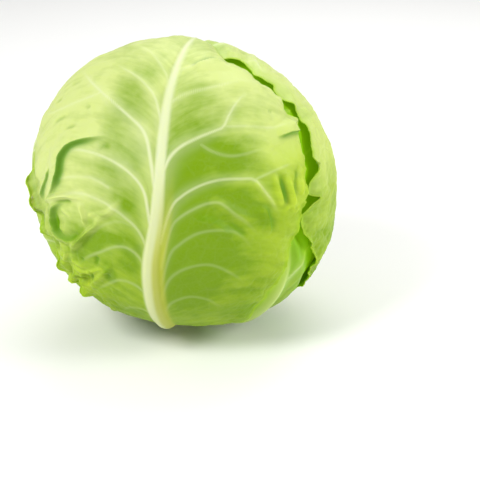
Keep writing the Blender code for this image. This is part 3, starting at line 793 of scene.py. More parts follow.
def ring_places(leaf, turns, count):
    """Places of each column's rings, from 0 in the middle to 1 at the margin, close at folds."""
    share = np.linspace(0.0, 1.0, RING_SAMPLES)
    even = 0.8 + 1.2 * share**6 + 1.6 * smooth_step((share - 0.93) / 0.07)
    density = np.tile(even, (len(turns), 1))
    marks = [(row[0], FOLD_PULL) for row in leaf.plan["folds"]]
    tall = [row for row in leaf.plan["creases"] if abs(row[1]) > TALL_CREASE_MM]
    marks += [(row[0], CREASE_PULL) for row in tall]
    for points, extra in marks:
        path = through_points(points, False, 6)
        around = np.degrees(np.arctan2(path[:, 1], path[:, 0]))
        middle = around[len(around) // 2]
        around = (around - middle + 180.0) % 360.0 - 180.0
        # The line may pass a column more than once, so its distance there is an average
        turned = (np.degrees(turns) - middle + 180.0) % 360.0 - 180.0
        weight = np.exp(-np.minimum(((turned[:, None] - around) / 1.6) ** 2, 60.0))
        far = weight @ np.hypot(*path.T) / weight.sum(axis=1) / leaf.reach(turns)
        ends = smooth_step(1.0 + np.minimum(turned - around.min(), around.max() - turned) / 8.0)
        density += extra * ends[:, None] * np.exp(-(((share - far[:, None]) / PULL_SHARE) ** 2))
    return np.array([spread_by(row, count + 1)[1:] for row in density])


def vein_fields(leaf, x, y):
    """Relief of the side veins in metres, and how pale they and the blade beside them are."""
    relief, pale, halo = np.zeros_like(x), np.zeros_like(x), np.zeros_like(x)
    for half_mm, points in leaf.plan["veins"]:
        path = through_points(points, False, 6)
        away, t, _, _ = near_path(path, x, y, 9.0)
        away = away * MM_PER_DEGREE
        # A vein thins along its way and fades out at its end, and a wide one is the palest
        half = half_mm * (1.1 - 0.75 * t)
        strength = np.clip(0.5 * half_mm - 0.34, 0.18, 1.0)
        fade = (1.0 - 0.5 * t) * smooth_step(4.5 * (1.0 - t)) * strength
        relief = np.maximum(relief, VEIN_HEIGHT * fade * np.exp(-((away / half) ** 2)))
        pale_half = np.maximum(0.42 * half, LEAST_PALE_MM)
        pale = np.maximum(pale, fade * np.exp(-((away / pale_half) ** 2)))
        halo = np.maximum(halo, fade * np.exp(-((away / (1.9 * half)) ** 2)))
    return relief, pale, halo


def fold_fields(leaf, x, y):
    """Height of folds in metres, how far the blade slides across them, and their painted crevice
    shadow.
    """
    height, slide, crevice = np.zeros_like(x), np.zeros((len(x), 2)), np.zeros_like(x)
    for points, high, gentle, steep, overhang in leaf.plan["folds"]:
        path = through_points(points, False, 6)
        away, t, side, across = near_path(path, x, y, 16.0)
        away = away * MM_PER_DEGREE
        ends = smooth_step(4.0 * t) * smooth_step(4.0 * (1.0 - t))
        # It rises slowly on its gentle side, and its crest leans over the steep side's foot
        width = np.where(side > 0, gentle, steep)
        rise = MM * high * ends * smooth_step(1.0 - away / width)
        height = np.maximum(height, rise)
        lip = smooth_step(1.0 - away / np.where(side > 0, LIP_GENTLE_MM, LIP_STEEP_MM))
        slide += across * (MM * overhang * ends * lip)[:, None]
        # Painted shadow: a band of deep green just beyond the steep side, under the lip
        under = np.exp(-(((away - CREVICE_FROM_MM) / CREVICE_WIDTH_MM) ** 2))
        under *= ends * min(1.0, 0.6 * overhang + 0.3)
        crevice = np.maximum(crevice, np.where(side > 0, 0.0, under))
    return height, slide, crevice


def crease_field(leaf, x, y):
    """Height in metres of the small ridges, and of the hollows, which are below 0."""
    height = np.zeros_like(x)
    for points, high, half in leaf.plan["creases"]:
        path = through_points(points, False, 6)
        away, t, _, _ = near_path(path, x, y, 8.0)
        ends = smooth_step(2.6 * t) * smooth_step(2.6 * (1.0 - t))
        height += MM * high * ends * np.exp(-((away * MM_PER_DEGREE / half) ** 2))
    return height


def roll_fields(leaf, around, inside):
    """How far a rolled margin is drawn back in the plane, and how far it stands out, in metres."""
    length = MM * leaf.by_turn("rolls", around)
    radius = MM * leaf.by_turn("rolls", around, 2)
    bend = np.maximum(np.abs(radius), LEAST_CURL)
    run = np.clip(length - inside, 0.0, None)
    angle = np.minimum(run / bend, MOST_CURL)
    return run - bend * np.sin(angle), np.sign(radius) * bend * (1.0 - np.cos(angle))


def flank_shade_field(leaf, x, y):
    """Painted shade, 0 to 1, where the midrib's right flank falls from the light, and over the rib.
    """
    beside = (x - leaf.rib_x(y)) * MM_PER_DEGREE
    strip = np.exp(-(((beside - FLANK_MM) / FLANK_HALF_MM) ** 4))
    strip += 0.25 * np.exp(-((beside / RIB_TINT_MM) ** 4))
    return np.clip(strip, 0.0, 1.0) * smooth_step((22.0 - y) / 40.0)


def vein_flow(leaf, x, y):
    """The way out from the midrib, and the way up it, bent as the side veins run, in degrees."""
    out = x - leaf.rib_x(y)
    share = np.abs(out) / 45.0
    return out, y - 26.0 * np.sqrt(share + 0.03) + 9.0 * np.clip(share, 0.0, 1.4) ** 3


def streak_field(out, up, seed):
    """Soft streaks and puckers between the side veins, from about -1.5 to 1.5, none at the rib."""
    apart = out + 90.0 * (out > 0)
    streak = crumple_noise(apart, up, STREAK_CELL, seed + 50)
    streak += 0.5 * crumple_noise(apart, up, SMALL_STREAK_CELL, seed + 51)
    return streak * smooth_step((np.abs(out) - 3.0) / 9.0)


def blister_fields(leaf, x, y, around, inside, height):
    """Relief of the blisters in metres, and how rough the blade is: most at the low margin."""
    plan, seed = leaf.plan, leaf.plan["seed"]
    bent_x = x + WARP * crumple_noise(x, y, WARP_CELL, seed + 40)
    bent_y = y + WARP * crumple_noise(x, y, WARP_CELL, seed + 41)
    cells = cell_noise(bent_x, bent_y, BLISTER_CELL, seed + 42)
    small_cells = cell_noise(bent_x, bent_y, SMALL_BLISTER_CELL, seed + 43)
    # Roughest at the lower margins, and a strongly blistered leaf is rough all over
    rough = smooth_step(1.0 - inside / ROUGH_ZONE) * smooth_step((0.35 - np.sin(around)) / 0.9)
    rough = np.clip(rough + 0.25 + 0.35 * (plan["blister"] > 0.9), 0.0, 1.0) * plan["blister"]
    swelling = 0.7 * smooth_step(2.2 * cells) + 0.5 * smooth_step(2.0 * small_cells)
    ridges = 1.0 - np.abs(crumple_noise(bent_x, bent_y, RIDGE_CELL, seed + 44))
    relief = height * rough * swelling + 0.9 * height * rough**2 * ridges
    crumple = 0.5 + crumple_noise(bent_x, bent_y, LUMP_CELL, seed + 45)
    for *place, lump in plan["lumps"]:
        relief += MM * lump * soft_oval(x, y, place) * crumple
    return relief, rough


def deepness(plan, x, y, streak, halo, creases):
    """How green the blade is: deeper low down, in its hollows and in a few broad patches.

    Low down and in the patches this is partly its own colour and partly painted shade; in the
    hollows it is painted shade, and the paler ridges are painted light.
    """
    # The shares are of the way from the light green to the deep green, and y is in degrees
    # Deeper low down and paler high up: partly the leaf's own colour, partly painted shade and
    # light
    deep = 0.38 - 0.30 * smooth_step((y + 20.0) / 95.0) + 0.16 * smooth_step((10.0 - y) / 60.0)
    for *place, strength in plan["patches"]:
        deep += strength * soft_oval(x, y, place)
    # Painted shade in the hollows, and painted light on the ridges
    deep += np.clip(-300.0 * creases, -0.2, 0.35)
    return deep - 0.09 * streak - 0.14 * halo


def leaf_grid(order, sizes, columns, rings):
    """The outer face of a leaf as a grid of points, with its thickness and its paint masks."""
    leaf, outermost = LEAVES[order], order == len(LEAVES) - 1
    plan, seed = leaf.plan, leaf.plan["seed"]
    turns = column_turns(leaf, columns)
    around = np.repeat(turns, rings)
    share = ring_places(leaf, turns, rings).ravel()
    rho = leaf.reach(around) * share
    x, y = rho * np.cos(around), rho * np.sin(around)
    inside = leaf.within(x, y)
    # Nicks draw the margin in and out, but not at the narrow base of the leaf
    jag = margin_noise(around, NICK, seed + 20)
    jag += 0.5 * margin_noise(around, SMALL_NICK, seed + 21)
    stretch = JAG_SHARE * plan["jag"] * jag * share**6 * smooth_step((np.sin(around) + 0.92) / 0.2)
    x, y = x * (1.0 + stretch), y * (1.0 + stretch)
    n = leaf.directions(x, y)
    free = bare(order, n)

    near_margin = smooth_step(1.0 - inside / RUFFLE_ZONE)
    crinkle = MM * leaf.by_turn("frill", around) * margin_noise(around, CRINKLE, seed + 30)
    ruffle = near_margin * leaf.waves_at(around) + crinkle * smooth_step(1.0 - inside / FRILL_ZONE)
    puff = PUFF * (0.4 + 0.6 * free) * soft_noise(x, y, PUFF_LENGTH / METRES_PER_DEGREE, seed)

    veins, pale, halo = vein_fields(leaf, x, y)
    ribs = leaf.rib(x, y)
    rib_share = smooth_step(ribs / (0.6 * RIB_TIP_HEIGHT + 0.25 * ribs.max()))
    folds, slide, crevice = fold_fields(leaf, x, y)
    creases = crease_field(leaf, x, y)
    flow_x, flow_y = vein_flow(leaf, x, y)
    streak = streak_field(flow_x, flow_y, seed)
    blister, rough = blister_fields(leaf, x, y, around, inside, sizes.blister)
    blister = (blister + STREAK_HEIGHT * streak) * (1.0 - rib_share)
    back, out = roll_fields(leaf, around, inside)

    # A hollow, and an edge that rolls inwards, goes no deeper than the leaf below leaves room for
    hug = HUG_DEPTH * smooth_step(1.0 - inside / HUG_ZONE)
    relief = ruffle + folds + blister + creases + out - hug
    room = 0.8 * sizes.clearance
    relief = np.where(relief < 0.0, room * np.tanh(relief / room), relief)
    inner = heart_radius(n, sizes) + lift(order, n, sizes) + puff * (1.0 - near_margin)
    inner += free * (swell(order, n, sizes) + relief)
    raised = np.maximum(ribs * (COVERED_RIB + (1.0 - COVERED_RIB) * free), veins * free)
    thickness = sizes.edge + (sizes.blade - sizes.edge) * smooth_step(inside / THIN_ZONE) + raised

    # Folds and rolled margins slide in the leaf's plane, so they turn along the head
    step = slide - np.column_stack([np.cos(around), np.sin(around)]) * back[:, None]
    step = step * free[:, None] / METRES_PER_DEGREE
    points = leaf.directions(x + step[:, 0], y + step[:, 1]) * (inner + thickness)[:, None]
    points = points + np.array([0.0, 0.0, sizes.middle_height])

    # Waxy bloom is thickest high on the leaf, and on the front leaf's left. The key light falls
    # there too, so its paler, whiter green is partly the wax and partly painted sheen.
    bloom_and_sheen = smooth_step((y + 34.0) / 90.0)
    if outermost:
        bloom_and_sheen = smooth_step((1.3 * y - 0.3 * x + 5.0 + 28.0 * smooth_step(-x / 12.0)) / 55.0)
    place = np.full(len(x), 40.0 * order)
    masks = {
        "vein": np.clip(np.maximum(pale, rib_share), 0.0, 1.0),
        "halo": np.clip(np.maximum(halo, rib_share), 0.0, 1.0),
        "rim_mm": np.clip(inside / MM, 0.0, 60.0),
        "rough": rough,
        # Painted shade in hollow creases and in the fold crevices
        "hollow_shade": np.clip(np.maximum(-480.0 * creases - 0.12, crevice), 0.0, 1.0) * free,
        # Painted shade on the midrib's right flank, on the front leaf only
        "flank_shade": flank_shade_field(leaf, x, y) * outermost * free,
        # Painted shade, a deeper green, under and near the outer leaves' margins
        "shade": plan["shade"] * (1.0 - bare(order, n, SHADE_RUN)),
        # Where a painted glow, an emission, stands in for light coming through the outer leaves
        "lit": plan["shade"] * (1.0 - bare(order, n, GAP_RUN)),
        "bloom_and_sheen": bloom_and_sheen,
        "deep": deepness(plan, x, y, streak, halo, creases),
        "flow_mm": np.column_stack([flow_x * MM_PER_DEGREE, flow_y * MM_PER_DEGREE, place]),
        "plane_mm": np.column_stack([x * MM_PER_DEGREE, y * MM_PER_DEGREE, place]),
    }
    return points.reshape(columns, rings, 3), thickness, masks


def grid_normals(points, middle):
    """Unit normals of a grid that closes on itself round the leaf, facing away from the middle."""
    round_way = np.roll(points, -1, axis=0) - np.roll(points, 1, axis=0)
    out_way = np.gradient(points, axis=1)
    normal = np.cross(out_way, round_way)
    normal /= np.maximum(np.linalg.norm(normal, axis=2), 1e-12)[..., None]
    facing = (normal[:, 2] * (points[:, 2] - middle)).sum(axis=1).mean()
    return normal if facing > 0 else -normal


def grid_quads(index, flip=False):
    """Faces of a grid of point numbers that closes on itself round the piece."""
    ahead = np.roll(index, -1, axis=0)
    corners = [index[:, :-1], index[:, 1:], ahead[:, 1:], ahead[:, :-1]]
    return np.stack([corner.ravel() for corner in (corners[::-1] if flip else corners)], axis=1)


def fan(centre, ring, flip=False):
    """Triangles from one point to a closed ring of points."""
    ahead = np.roll(ring, -1)
    first, second = (ahead, ring) if flip else (ring, ahead)
    return [[centre, int(p), int(q)] for p, q in zip(first, second)]


def mesh_piece(name, points, faces, masks, material, slot):
    """A smooth mesh object with its masks as attributes, riding on the head."""
    mesh = bpy.data.meshes.new(name)
    mesh.from_pydata(points, [], faces)
    mesh.update()
    for key, values in masks.items():
        kind = "FLOAT" if values.ndim == 1 else "FLOAT_VECTOR"
        field = "value" if values.ndim == 1 else "vector"
        layer = mesh.attributes.new(key, kind, "POINT")
        layer.data.foreach_set(field, values.astype(np.float32).ravel())
    mesh.shade_smooth()
    mesh.materials.append(material)
    made = bpy.data.objects.new(name, mesh)
    bpy.context.scene.collection.objects.link(made)
    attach(made, "root")
    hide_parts(slot)
    return made


def within_box(points):
    """Eases points that stand out at a side of the CAD's box back to just inside it."""
    low, high = np.array(CAD_BOX[0]), np.array(CAD_BOX[1])
    centre, half = 0.5 * (low + high), 0.5 * (high - low)
    away = points - centre
    start = half - BOX_EASE
    over = np.clip(np.abs(away) - start, 0.0, None)
    eased = np.minimum(np.abs(away), start) + BOX_EASE * np.tanh(over / BOX_EASE)
    return centre + np.sign(away) * eased


def add_leaf(order, sizes, material, columns, rings):
    """A leaf blade: a fine outer face, an inner face with fewer rings, and a rim between them."""
    points, thickness, masks = leaf_grid(order, sizes, columns, rings)
    middle = np.array([0.0, 0.0, sizes.middle_height])
    normal = grid_normals(points, middle)
    inner_points = points - normal * thickness.reshape(columns, rings)[..., None]
    near_margin = (rings - 5, rings - 3, rings - 1)
    kept = [k for k in range(rings) if k % INNER_STEP == 0 or k in near_margin]

    # Between its few rings the inner face runs straight, so it stays under all that is near it
    depth = np.linalg.norm(inner_points - middle, axis=2)
    lowest = depth.copy()
    for step in range(1, INNER_STEP + 1):
        lowest[:, step:] = np.minimum(lowest[:, step:], depth[:, :-step])
        lowest[:, :-step] = np.minimum(lowest[:, :-step], depth[:, step:])
    lowest[:, -MARGIN_RINGS:] = depth[:, -MARGIN_RINGS:]
    inner_points = middle + (inner_points - middle) * (lowest / depth)[..., None]

    # Both faces' points, and one more in the middle of each, which closes its first ring
    faces_points = [points.reshape(-1, 3), inner_points[:, kept].reshape(-1, 3)]
    faces_points += [points[:, 0].mean(axis=0), inner_points[:, 0].mean(axis=0)]
    verts = within_box(np.vstack(faces_points))
    outer = np.arange(columns * rings).reshape(columns, rings)
    inner = columns * rings + np.arange(columns * len(kept)).reshape(columns, len(kept))
    a, b = outer[:, -1], inner[:, -1]
    rim = np.stack([a, b, np.roll(b, -1), np.roll(a, -1)], axis=1)
    faces = np.vstack([grid_quads(outer), grid_quads(inner, True), rim]).tolist()
    faces += fan(len(verts) - 2, outer[:, 0]) + fan(len(verts) - 1, inner[:, 0], True)

    spread = {}
    for key, values in masks.items():
        grid = values.reshape(columns, rings, -1)
        parts = [grid.reshape(columns * rings, -1), grid[:, kept].reshape(columns * len(kept), -1)]
        parts += [grid[:, 0].mean(axis=0)[None]] * 2
        whole = np.vstack(parts)
        spread[key] = whole if whole.shape[1] > 1 else whole[:, 0]
    name = LEAVES[order].plan["name"]
    return mesh_piece(name + "_blade", verts, faces, spread, material, name)


def add_node(tree, kind, inputs=None, **settings):
    """Adds a node with its settings, and sets each input to a value or links it to an output."""
    node = tree.nodes.new(kind)
    for key, value in settings.items():
        setattr(node, key, value)
    for key, value in (inputs or {}).items():
        if isinstance(value, bpy.types.NodeSocket):
            tree.links.new(value, node.inputs[key])
        else:
            node.inputs[key].default_value = value
    return node


def new_material(name):
    """An empty node material with a Principled shader on its output."""
    material = bpy.data.materials.new(name)
    material.use_nodes = True
    tree = material.node_tree
    tree.nodes.clear()
    shader = add_node(tree, "ShaderNodeBsdfPrincipled")
    add_node(tree, "ShaderNodeOutputMaterial", {"Surface": shader.outputs[0]})
    return material, tree, shader


def leaf_material(colours):
    """Living cabbage leaf, grown, under a waxy cuticle.

    The wax gives a broad soft gloss. The thin wet blade lets light through, and that light is
    painted as a faint glow, an emission, near the outer leaves' margins and in the hollows. Covered
    blade, hollows and the midrib's right flank take a deeper green as painted shade, the wax is
    painted paler high up and on the front leaf's left, partly as painted sheen, and the watery
    veins are paler than the green between them.
    """
    name = "waxy_cabbage_leaf"
    if name in bpy.data.materials:
        return bpy.data.materials[name]
    material, tree, shader = new_material(name)
    vein, halo, rim, rough, deep, hollow_shade, flank_shade, shade, painted_glow_place, bloom_and_sheen = (
        add_node(tree, "ShaderNodeAttribute", attribute_name=key).outputs["Fac"]
        for key in (
            "vein", "halo", "rim_mm", "rough", "deep", "hollow_shade", "flank_shade", "shade", "lit", "bloom_and_sheen")
    )
    plane, flow = (
        add_node(tree, "ShaderNodeAttribute", attribute_name=key).outputs["Vector"]
        for key in ("plane_mm", "flow_mm")
    )
    # The leaf's colours, with the fourth number that a colour socket wants
    light, fresh, deep_green, pale, inner, shaded_vein_lit_edge, hollow_shade_green, flank_shade_olive = (
        (*colour, 1.0)
        for colour in (
            colours.blade_light, colours.blade_fresh, colours.blade_deep, colours.vein,
            colours.inner, colours.shaded_vein_lit_edge, colours.hollow_shade, colours.flank_shade)
    )

    # Broad patches of deeper green, 24 mm across, and streaks of 16 by 4 mm between the veins
    broad = add_node(
        tree, "ShaderNodeTexNoise",
        {"Vector": plane, "Scale": 1 / 24, "Detail": 3.0, "Roughness": 0.6},
    ).outputs["Fac"]
    long_way = add_node(
        tree, "ShaderNodeVectorMath", {0: flow, 1: (1 / 16, 1 / 4, 1.0)}, operation="MULTIPLY"
    ).outputs[0]
    streak = add_node(
        tree, "ShaderNodeTexNoise",
        {"Vector": long_way, "Scale": 1.0, "Detail": 3.0, "Roughness": 0.55},
    ).outputs["Fac"]
    both = add_node(
        tree, "ShaderNodeMath", {0: broad, 1: 0.8, 2: deep}, operation="MULTIPLY_ADD"
    ).outputs[0]
    total = add_node(
        tree, "ShaderNodeMath", {0: streak, 1: 0.5, 2: both}, operation="MULTIPLY_ADD"
    ).outputs[0]
    green = add_node(
        tree, "ShaderNodeMapRange", {"Value": total, "From Min": 0.64, "From Max": 1.34}
    ).outputs[0]
    # Wax and painted sheen: paler and whiter high up and on the front leaf's left
    wax_and_sheen = add_node(
        tree, "ShaderNodeMix", {0: bloom_and_sheen, 6: fresh, 7: light}, data_type="RGBA"
    ).outputs[2]
    blade = add_node(
        tree, "ShaderNodeMix", {0: green, 6: wax_and_sheen, 7: deep_green}, data_type="RGBA"
    ).outputs[2]

    # Net of fine veins: cells 7.5 mm across, and finer ones of 2.6 mm between them. The finest
    # real ones are about 1 mm across, which is less than a pixel, so they are drawn coarser.
    warp = add_node(
        tree, "ShaderNodeTexNoise",
        {"Vector": plane, "Scale": 1 / 7, "Detail": 2.0, "Roughness": 0.6},
    ).outputs["Color"]
    warp = add_node(
        tree, "ShaderNodeVectorMath", {0: warp, 1: (3.4, 3.4, 3.4)}, operation="MULTIPLY"
    ).outputs[0]
    bent = add_node(
        tree, "ShaderNodeVectorMath", {0: plane, 1: warp}, operation="ADD"
    ).outputs[0]
    net = []
    for cell_mm, line_width, strength in ((7.5, 0.13, 0.020), (2.6, 0.20, 0.015)):
        to_edge = add_node(
            tree, "ShaderNodeTexVoronoi",
            {"Vector": bent, "Scale": 1 / cell_mm, "Randomness": 0.9},
            feature="DISTANCE_TO_EDGE",
        ).outputs["Distance"]
        net.append(add_node(
            tree, "ShaderNodeMapRange",
            {"Value": to_edge, "From Min": 0.0, "From Max": line_width,
             "To Min": strength, "To Max": 0.0},
            interpolation_type="SMOOTHSTEP",
        ).outputs[0])
    lines = add_node(tree, "ShaderNodeMath", {0: net[0], 1: net[1]}, operation="ADD").outputs[0]
    glow = add_node(tree, "ShaderNodeMath", {0: halo, 1: 0.30}, operation="MULTIPLY").outputs[0]
    paler = add_node(tree, "ShaderNodeMath", {0: lines, 1: glow}, operation="MAXIMUM").outputs[0]
    paler = add_node(tree, "ShaderNodeMath", {0: paler, 1: vein}, operation="MAXIMUM").outputs[0]
    # Painted shade on the midrib's right flank
    side = add_node(tree, "ShaderNodeMath", {0: flank_shade, 1: 0.85}, operation="MULTIPLY").outputs[0]

    # Painted shade: what the outer leaves cover, and the hollows, take a deeper, more saturated
    # green, as light reaches them only through green blades. The margin's last 2.5 mm is thin, and
    # a brighter green is painted there as painted light shining through it.
    covered = add_node(
        tree, "ShaderNodeMix", {0: paler, 6: inner, 7: shaded_vein_lit_edge}, data_type="RGBA"
    ).outputs[2]
    hollow_shade = add_node(
        tree, "ShaderNodeMath", {0: hollow_shade, 1: 0.92}, operation="MULTIPLY"
    ).outputs[0]
    edge = add_node(
        tree, "ShaderNodeMapRange",
        {"Value": rim, "From Min": 0.0, "From Max": 2.5, "To Min": 0.75, "To Max": 0.0},
    ).outputs[0]
    # The layers of colour, each over the ones before it: pale veins, then the painted shade of the
    # flank, of covered blade and of hollows, and the painted light of thin margins
    layers = (
        (paler, pale), (side, flank_shade_olive), (shade, covered), (hollow_shade, hollow_shade_green), (edge, shaded_vein_lit_edge))
    colour = blade
    for share, over in layers:
        colour = add_node(
            tree, "ShaderNodeMix", {0: share, 6: colour, 7: over}, data_type="RGBA"
        ).outputs[2]

    # Bump: the net stands a little proud, and the blade has a fine skin. Its real cells are
    # far below 1 mm, so it is drawn at 1.2 mm, as fine as the render shows.
    skin = add_node(
        tree, "ShaderNodeTexNoise",
        {"Vector": plane, "Scale": 1 / 1.2, "Detail": 3.0, "Roughness": 0.6},
    ).outputs["Fac"]
    bed = add_node(tree, "ShaderNodeMath", {0: skin, 1: 0.10}, operation="MULTIPLY").outputs[0]
    high = add_node(
        tree, "ShaderNodeMath", {0: lines, 1: rough, 2: bed}, operation="MULTIPLY_ADD"
    ).outputs[0]
    bump = add_node(
        tree, "ShaderNodeBump", {"Strength": 0.55, "Distance": 0.0006, "Height": high}
    ).outputs[0]

    # Painted glow: an emission stands in for daylight that comes through the blades above, and
    # through the walls of folds
    crevice = add_node(
        tree, "ShaderNodeMath", {0: hollow_shade, 1: 0.35}, operation="MULTIPLY"
    ).outputs[0]
    through = add_node(
        tree, "ShaderNodeMath", {0: painted_glow_place, 1: crevice}, operation="MAXIMUM"
    ).outputs[0]
    through = add_node(
        tree, "ShaderNodeMix", {0: through, 6: (0.0, 0.0, 0.0, 1.0), 7: inner}, data_type="RGBA"
    ).outputs[2]
    tree.links.new(colour, shader.inputs["Base Color"])
    tree.links.new(bump, shader.inputs["Normal"])
    tree.links.new(through, shader.inputs["Emission Color"])
    shader.inputs["Emission Strength"].default_value = 0.32
    # Wax over wet tissue: a weak, broad gloss, and light that spreads 2 to 3 mm inside
    shader.inputs["Roughness"].default_value = 0.48
    shader.inputs["IOR"].default_value = 1.45
    shader.inputs["Specular IOR Level"].default_value = 0.20
    shader.inputs["Subsurface Weight"].default_value = 0.35
    shader.inputs["Subsurface Radius"].default_value = (0.9, 1.0, 0.25)
    shader.inputs["Subsurface Scale"].default_value = 0.0025
    return material


def stalk_material(colours):
    """Cabbage stalk, cut across with a knife: moist cream pith, duller with age at its skin."""
    material, tree, shader = new_material("cut_stalk_pith")
    place = add_node(tree, "ShaderNodeTexCoord").outputs["Object"]
    # The pith's grain is 2.4 mm across, and its place is in metres, so the scale is 1 / 0.0024
    grain = add_node(
        tree, "ShaderNodeTexNoise",
        {"Vector": place, "Scale": 420.0, "Detail": 4.0, "Roughness": 0.6},
    ).outputs["Fac"]
    # Woody bundles 1.9 mm across lie in a ring that starts 3 to 5 mm inside the skin
    spots = add_node(
        tree, "ShaderNodeTexVoronoi", {"Vector": place, "Scale": 520.0}, feature="F1"
    ).outputs["Distance"]
    flat = add_node(
        tree, "ShaderNodeVectorMath", {0: place, 1: (1.0, 1.0, 0.0)}, operation="MULTIPLY"
    ).outputs[0]
    out = add_node(
        tree, "ShaderNodeVectorMath", {0: flat}, operation="LENGTH"
    ).outputs["Value"]
    ring, skin = (
        add_node(
            tree, "ShaderNodeMapRange",
            {"Value": out, "From Min": near, "From Max": far, "To Min": 0.0, "To Max": 1.0},
            interpolation_type="SMOOTHSTEP",
        ).outputs[0]
        for near, far in ((0.0095, 0.0118), (0.0130, 0.0146))
    )
    bundle = add_node(
        tree, "ShaderNodeMath", {0: ring, 1: spots}, operation="MULTIPLY"
    ).outputs[0]
    colour = (*colours.stalk, 1.0)
    for share, code in ((grain, "#d3cf9c"), (bundle, "#b9b877"), (skin, "#c3cd86")):
        colour = add_node(
            tree, "ShaderNodeMix", {0: share, 6: colour, 7: (*linear(code), 1.0)},
            data_type="RGBA",
        ).outputs[2]
    bump = add_node(
        tree, "ShaderNodeBump", {"Strength": 0.5, "Distance": 0.0004, "Height": grain}
    ).outputs[0]
    tree.links.new(colour, shader.inputs["Base Color"])
    tree.links.new(bump, shader.inputs["Normal"])
    shader.inputs["Roughness"].default_value = 0.62
    shader.inputs["IOR"].default_value = 1.42
    shader.inputs["Subsurface Weight"].default_value = 0.3
    shader.inputs["Subsurface Radius"].default_value = (1.0, 0.8, 0.4)
    shader.inputs["Subsurface Scale"].default_value = 0.002
    return material


class CABBAGE_OT_stalk(bpy.types.Operator):
    """Add the cut stalk with its leaf scars"""

    bl_idname = "cabbage.stalk"
    bl_label = "Add Cut Stalk"

    def execute(self, context):
        sizes, colours = context.scene.cabbage_sizes, context.scene.cabbage_colours
        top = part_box("stalk")[1].z
        rows, columns = STALK_ROWS, STALK_COLUMNS
        around = np.linspace(0.0, math.tau, columns, endpoint=False)
        height, turn = np.meshgrid(np.linspace(0.0, 1.0, rows) * top, around)
        narrow = STALK_WAIST * smooth_step((height - 0.004) / (top - 0.004))
        radius = sizes.stalk_radius - 0.0005 - narrow
        # The knife leaves a small chamfer at the foot
        radius -= CHAMFER * np.exp(-((height / CHAMFER_HEIGHT) ** 2))
        # Scars of the leaves that were pulled off climb the stalk, each a golden angle on
        for k in range(SCARS):
            scar, level = math.radians(GOLDEN_ANGLE * k), 0.0022 + 0.0011 * k
            apart = (turn - scar + math.pi) % math.tau - math.pi
            level_share = (height - level) / SCAR_HALF_HEIGHT
            radius += SCAR_OUT * np.exp(-((apart / SCAR_HALF_TURN) ** 2) - level_share**2)
        # Shallow fibres run up it, leaning a little
        radius += FIBRE_DEPTH * np.sin(31.0 * turn + 200.0 * height)
        points = np.stack([radius * np.cos(turn), radius * np.sin(turn), height], axis=-1)
        index = np.arange(columns * rows).reshape(columns, rows)
        ahead = np.roll(index, -1, axis=0)
        corners = [index[:, :-1], ahead[:, :-1], ahead[:, 1:], index[:, 1:]]
        faces = np.stack([corner.ravel() for corner in corners], axis=1).tolist()
        # The cut face is rings that grow smaller, and one flat face in their middle
        verts, last, count = [points.reshape(-1, 3)], index[:, 0], columns * rows
        for share in (0.85, 0.6, 0.35, 0.15):
            verts.append(points[:, 0] * (share, share, 1.0))
            new = count + np.arange(columns)
            ring = [last, new, np.roll(new, -1), np.roll(last, -1)]
            faces += np.stack(ring, axis=1).tolist()
            last, count = new, count + columns
        faces += [last.tolist(), index[:, -1].tolist()]
        mesh_piece("cut_stalk", np.vstack(verts), faces, {}, stalk_material(colours), "stalk")
        return {"FINISHED"}


class CABBAGE_OT_heart(bpy.types.Operator):
    """Add the tight heart that shows between the leaf bases"""

    bl_idname = "cabbage.heart"
    bl_label = "Add Heart"

    def execute(self, context):
        sizes, colours = context.scene.cabbage_sizes, context.scene.cabbage_colours
        columns, rows = HEART_COLUMNS, HEART_ROWS
        polar = np.linspace(0.0, math.pi, rows + 1)[1:-1]
        around = np.linspace(0.0, math.tau, columns, endpoint=False)
        down, turn = np.meshgrid(polar, around)
        n = [np.sin(down) * np.cos(turn), np.sin(down) * np.sin(turn), np.cos(down)]
        n = np.vstack([np.stack(n, axis=-1).reshape(-1, 3), (0.0, 0.0, 1.0), (0.0, 0.0, -1.0)])
        # Its leaves lie as the wrapper leaves do, half a turn round, so that none repeats above
        turned = n * (-1.0, -1.0, 1.0)
        relief, vein, halo = np.zeros(len(n)), np.zeros(len(n)), np.zeros(len(n))
        for leaf in LEAVES:
            x, y = leaf.plane(turned)
            edge = smooth_step(leaf.within(x, y) / HEART_EDGE_RUN)
            rib = leaf.rib(x, y)
            relief += HEART_EDGE * edge + HEART_RIB_SHARE * rib
            _, pale, soft = vein_fields(leaf, x, y)
            share = smooth_step(rib / 0.0012)
            vein = np.where(edge > 0.5, np.maximum(pale, share), vein)
            halo = np.where(edge > 0.5, np.maximum(soft, share), halo)
        radius = heart_radius(n, sizes) - HEART_SUNK + relief
        points = n * radius[:, None] + (0.0, 0.0, sizes.middle_height)
        index = np.arange(columns * (rows - 1)).reshape(columns, rows - 1)
        faces = grid_quads(index).tolist()
        faces += fan(len(points) - 2, index[:, 0]) + fan(len(points) - 1, index[:, -1], True)
        place = n * MEAN_RADIUS / MM
        masks = {"vein": vein, "halo": halo, "flow_mm": place, "plane_mm": place}
        # The heart lies under all the leaves, so it takes the painted shade all over
        even = {
            "rim_mm": 30.0, "rough": 0.3, "hollow_shade": 0.0, "flank_shade": 0.0, "shade": 1.0, "lit": 0.0,
            "bloom_and_sheen": 0.5, "deep": 0.5}
        masks.update({key: np.full(len(n), value) for key, value in even.items()})
        mesh_piece("leaf_heart", points, faces, masks, leaf_material(colours), "heart")
        return {"FINISHED"}


class CABBAGE_OT_leaves(bpy.types.Operator):
    """Add the wrapper leaves, innermost first"""

    bl_idname = "cabbage.leaves"
    bl_label = "Add Wrapper Leaves"

    def execute(self, context):
        sizes, colours = context.scene.cabbage_sizes, context.scene.cabbage_colours
        material = leaf_material(colours)
        for order in range(len(LEAVES)):
            columns, rings = FRONT_GRID if order == len(LEAVES) - 1 else WRAPPER_GRID
            add_leaf(order, sizes, material, columns, rings)
        return {"FINISHED"}


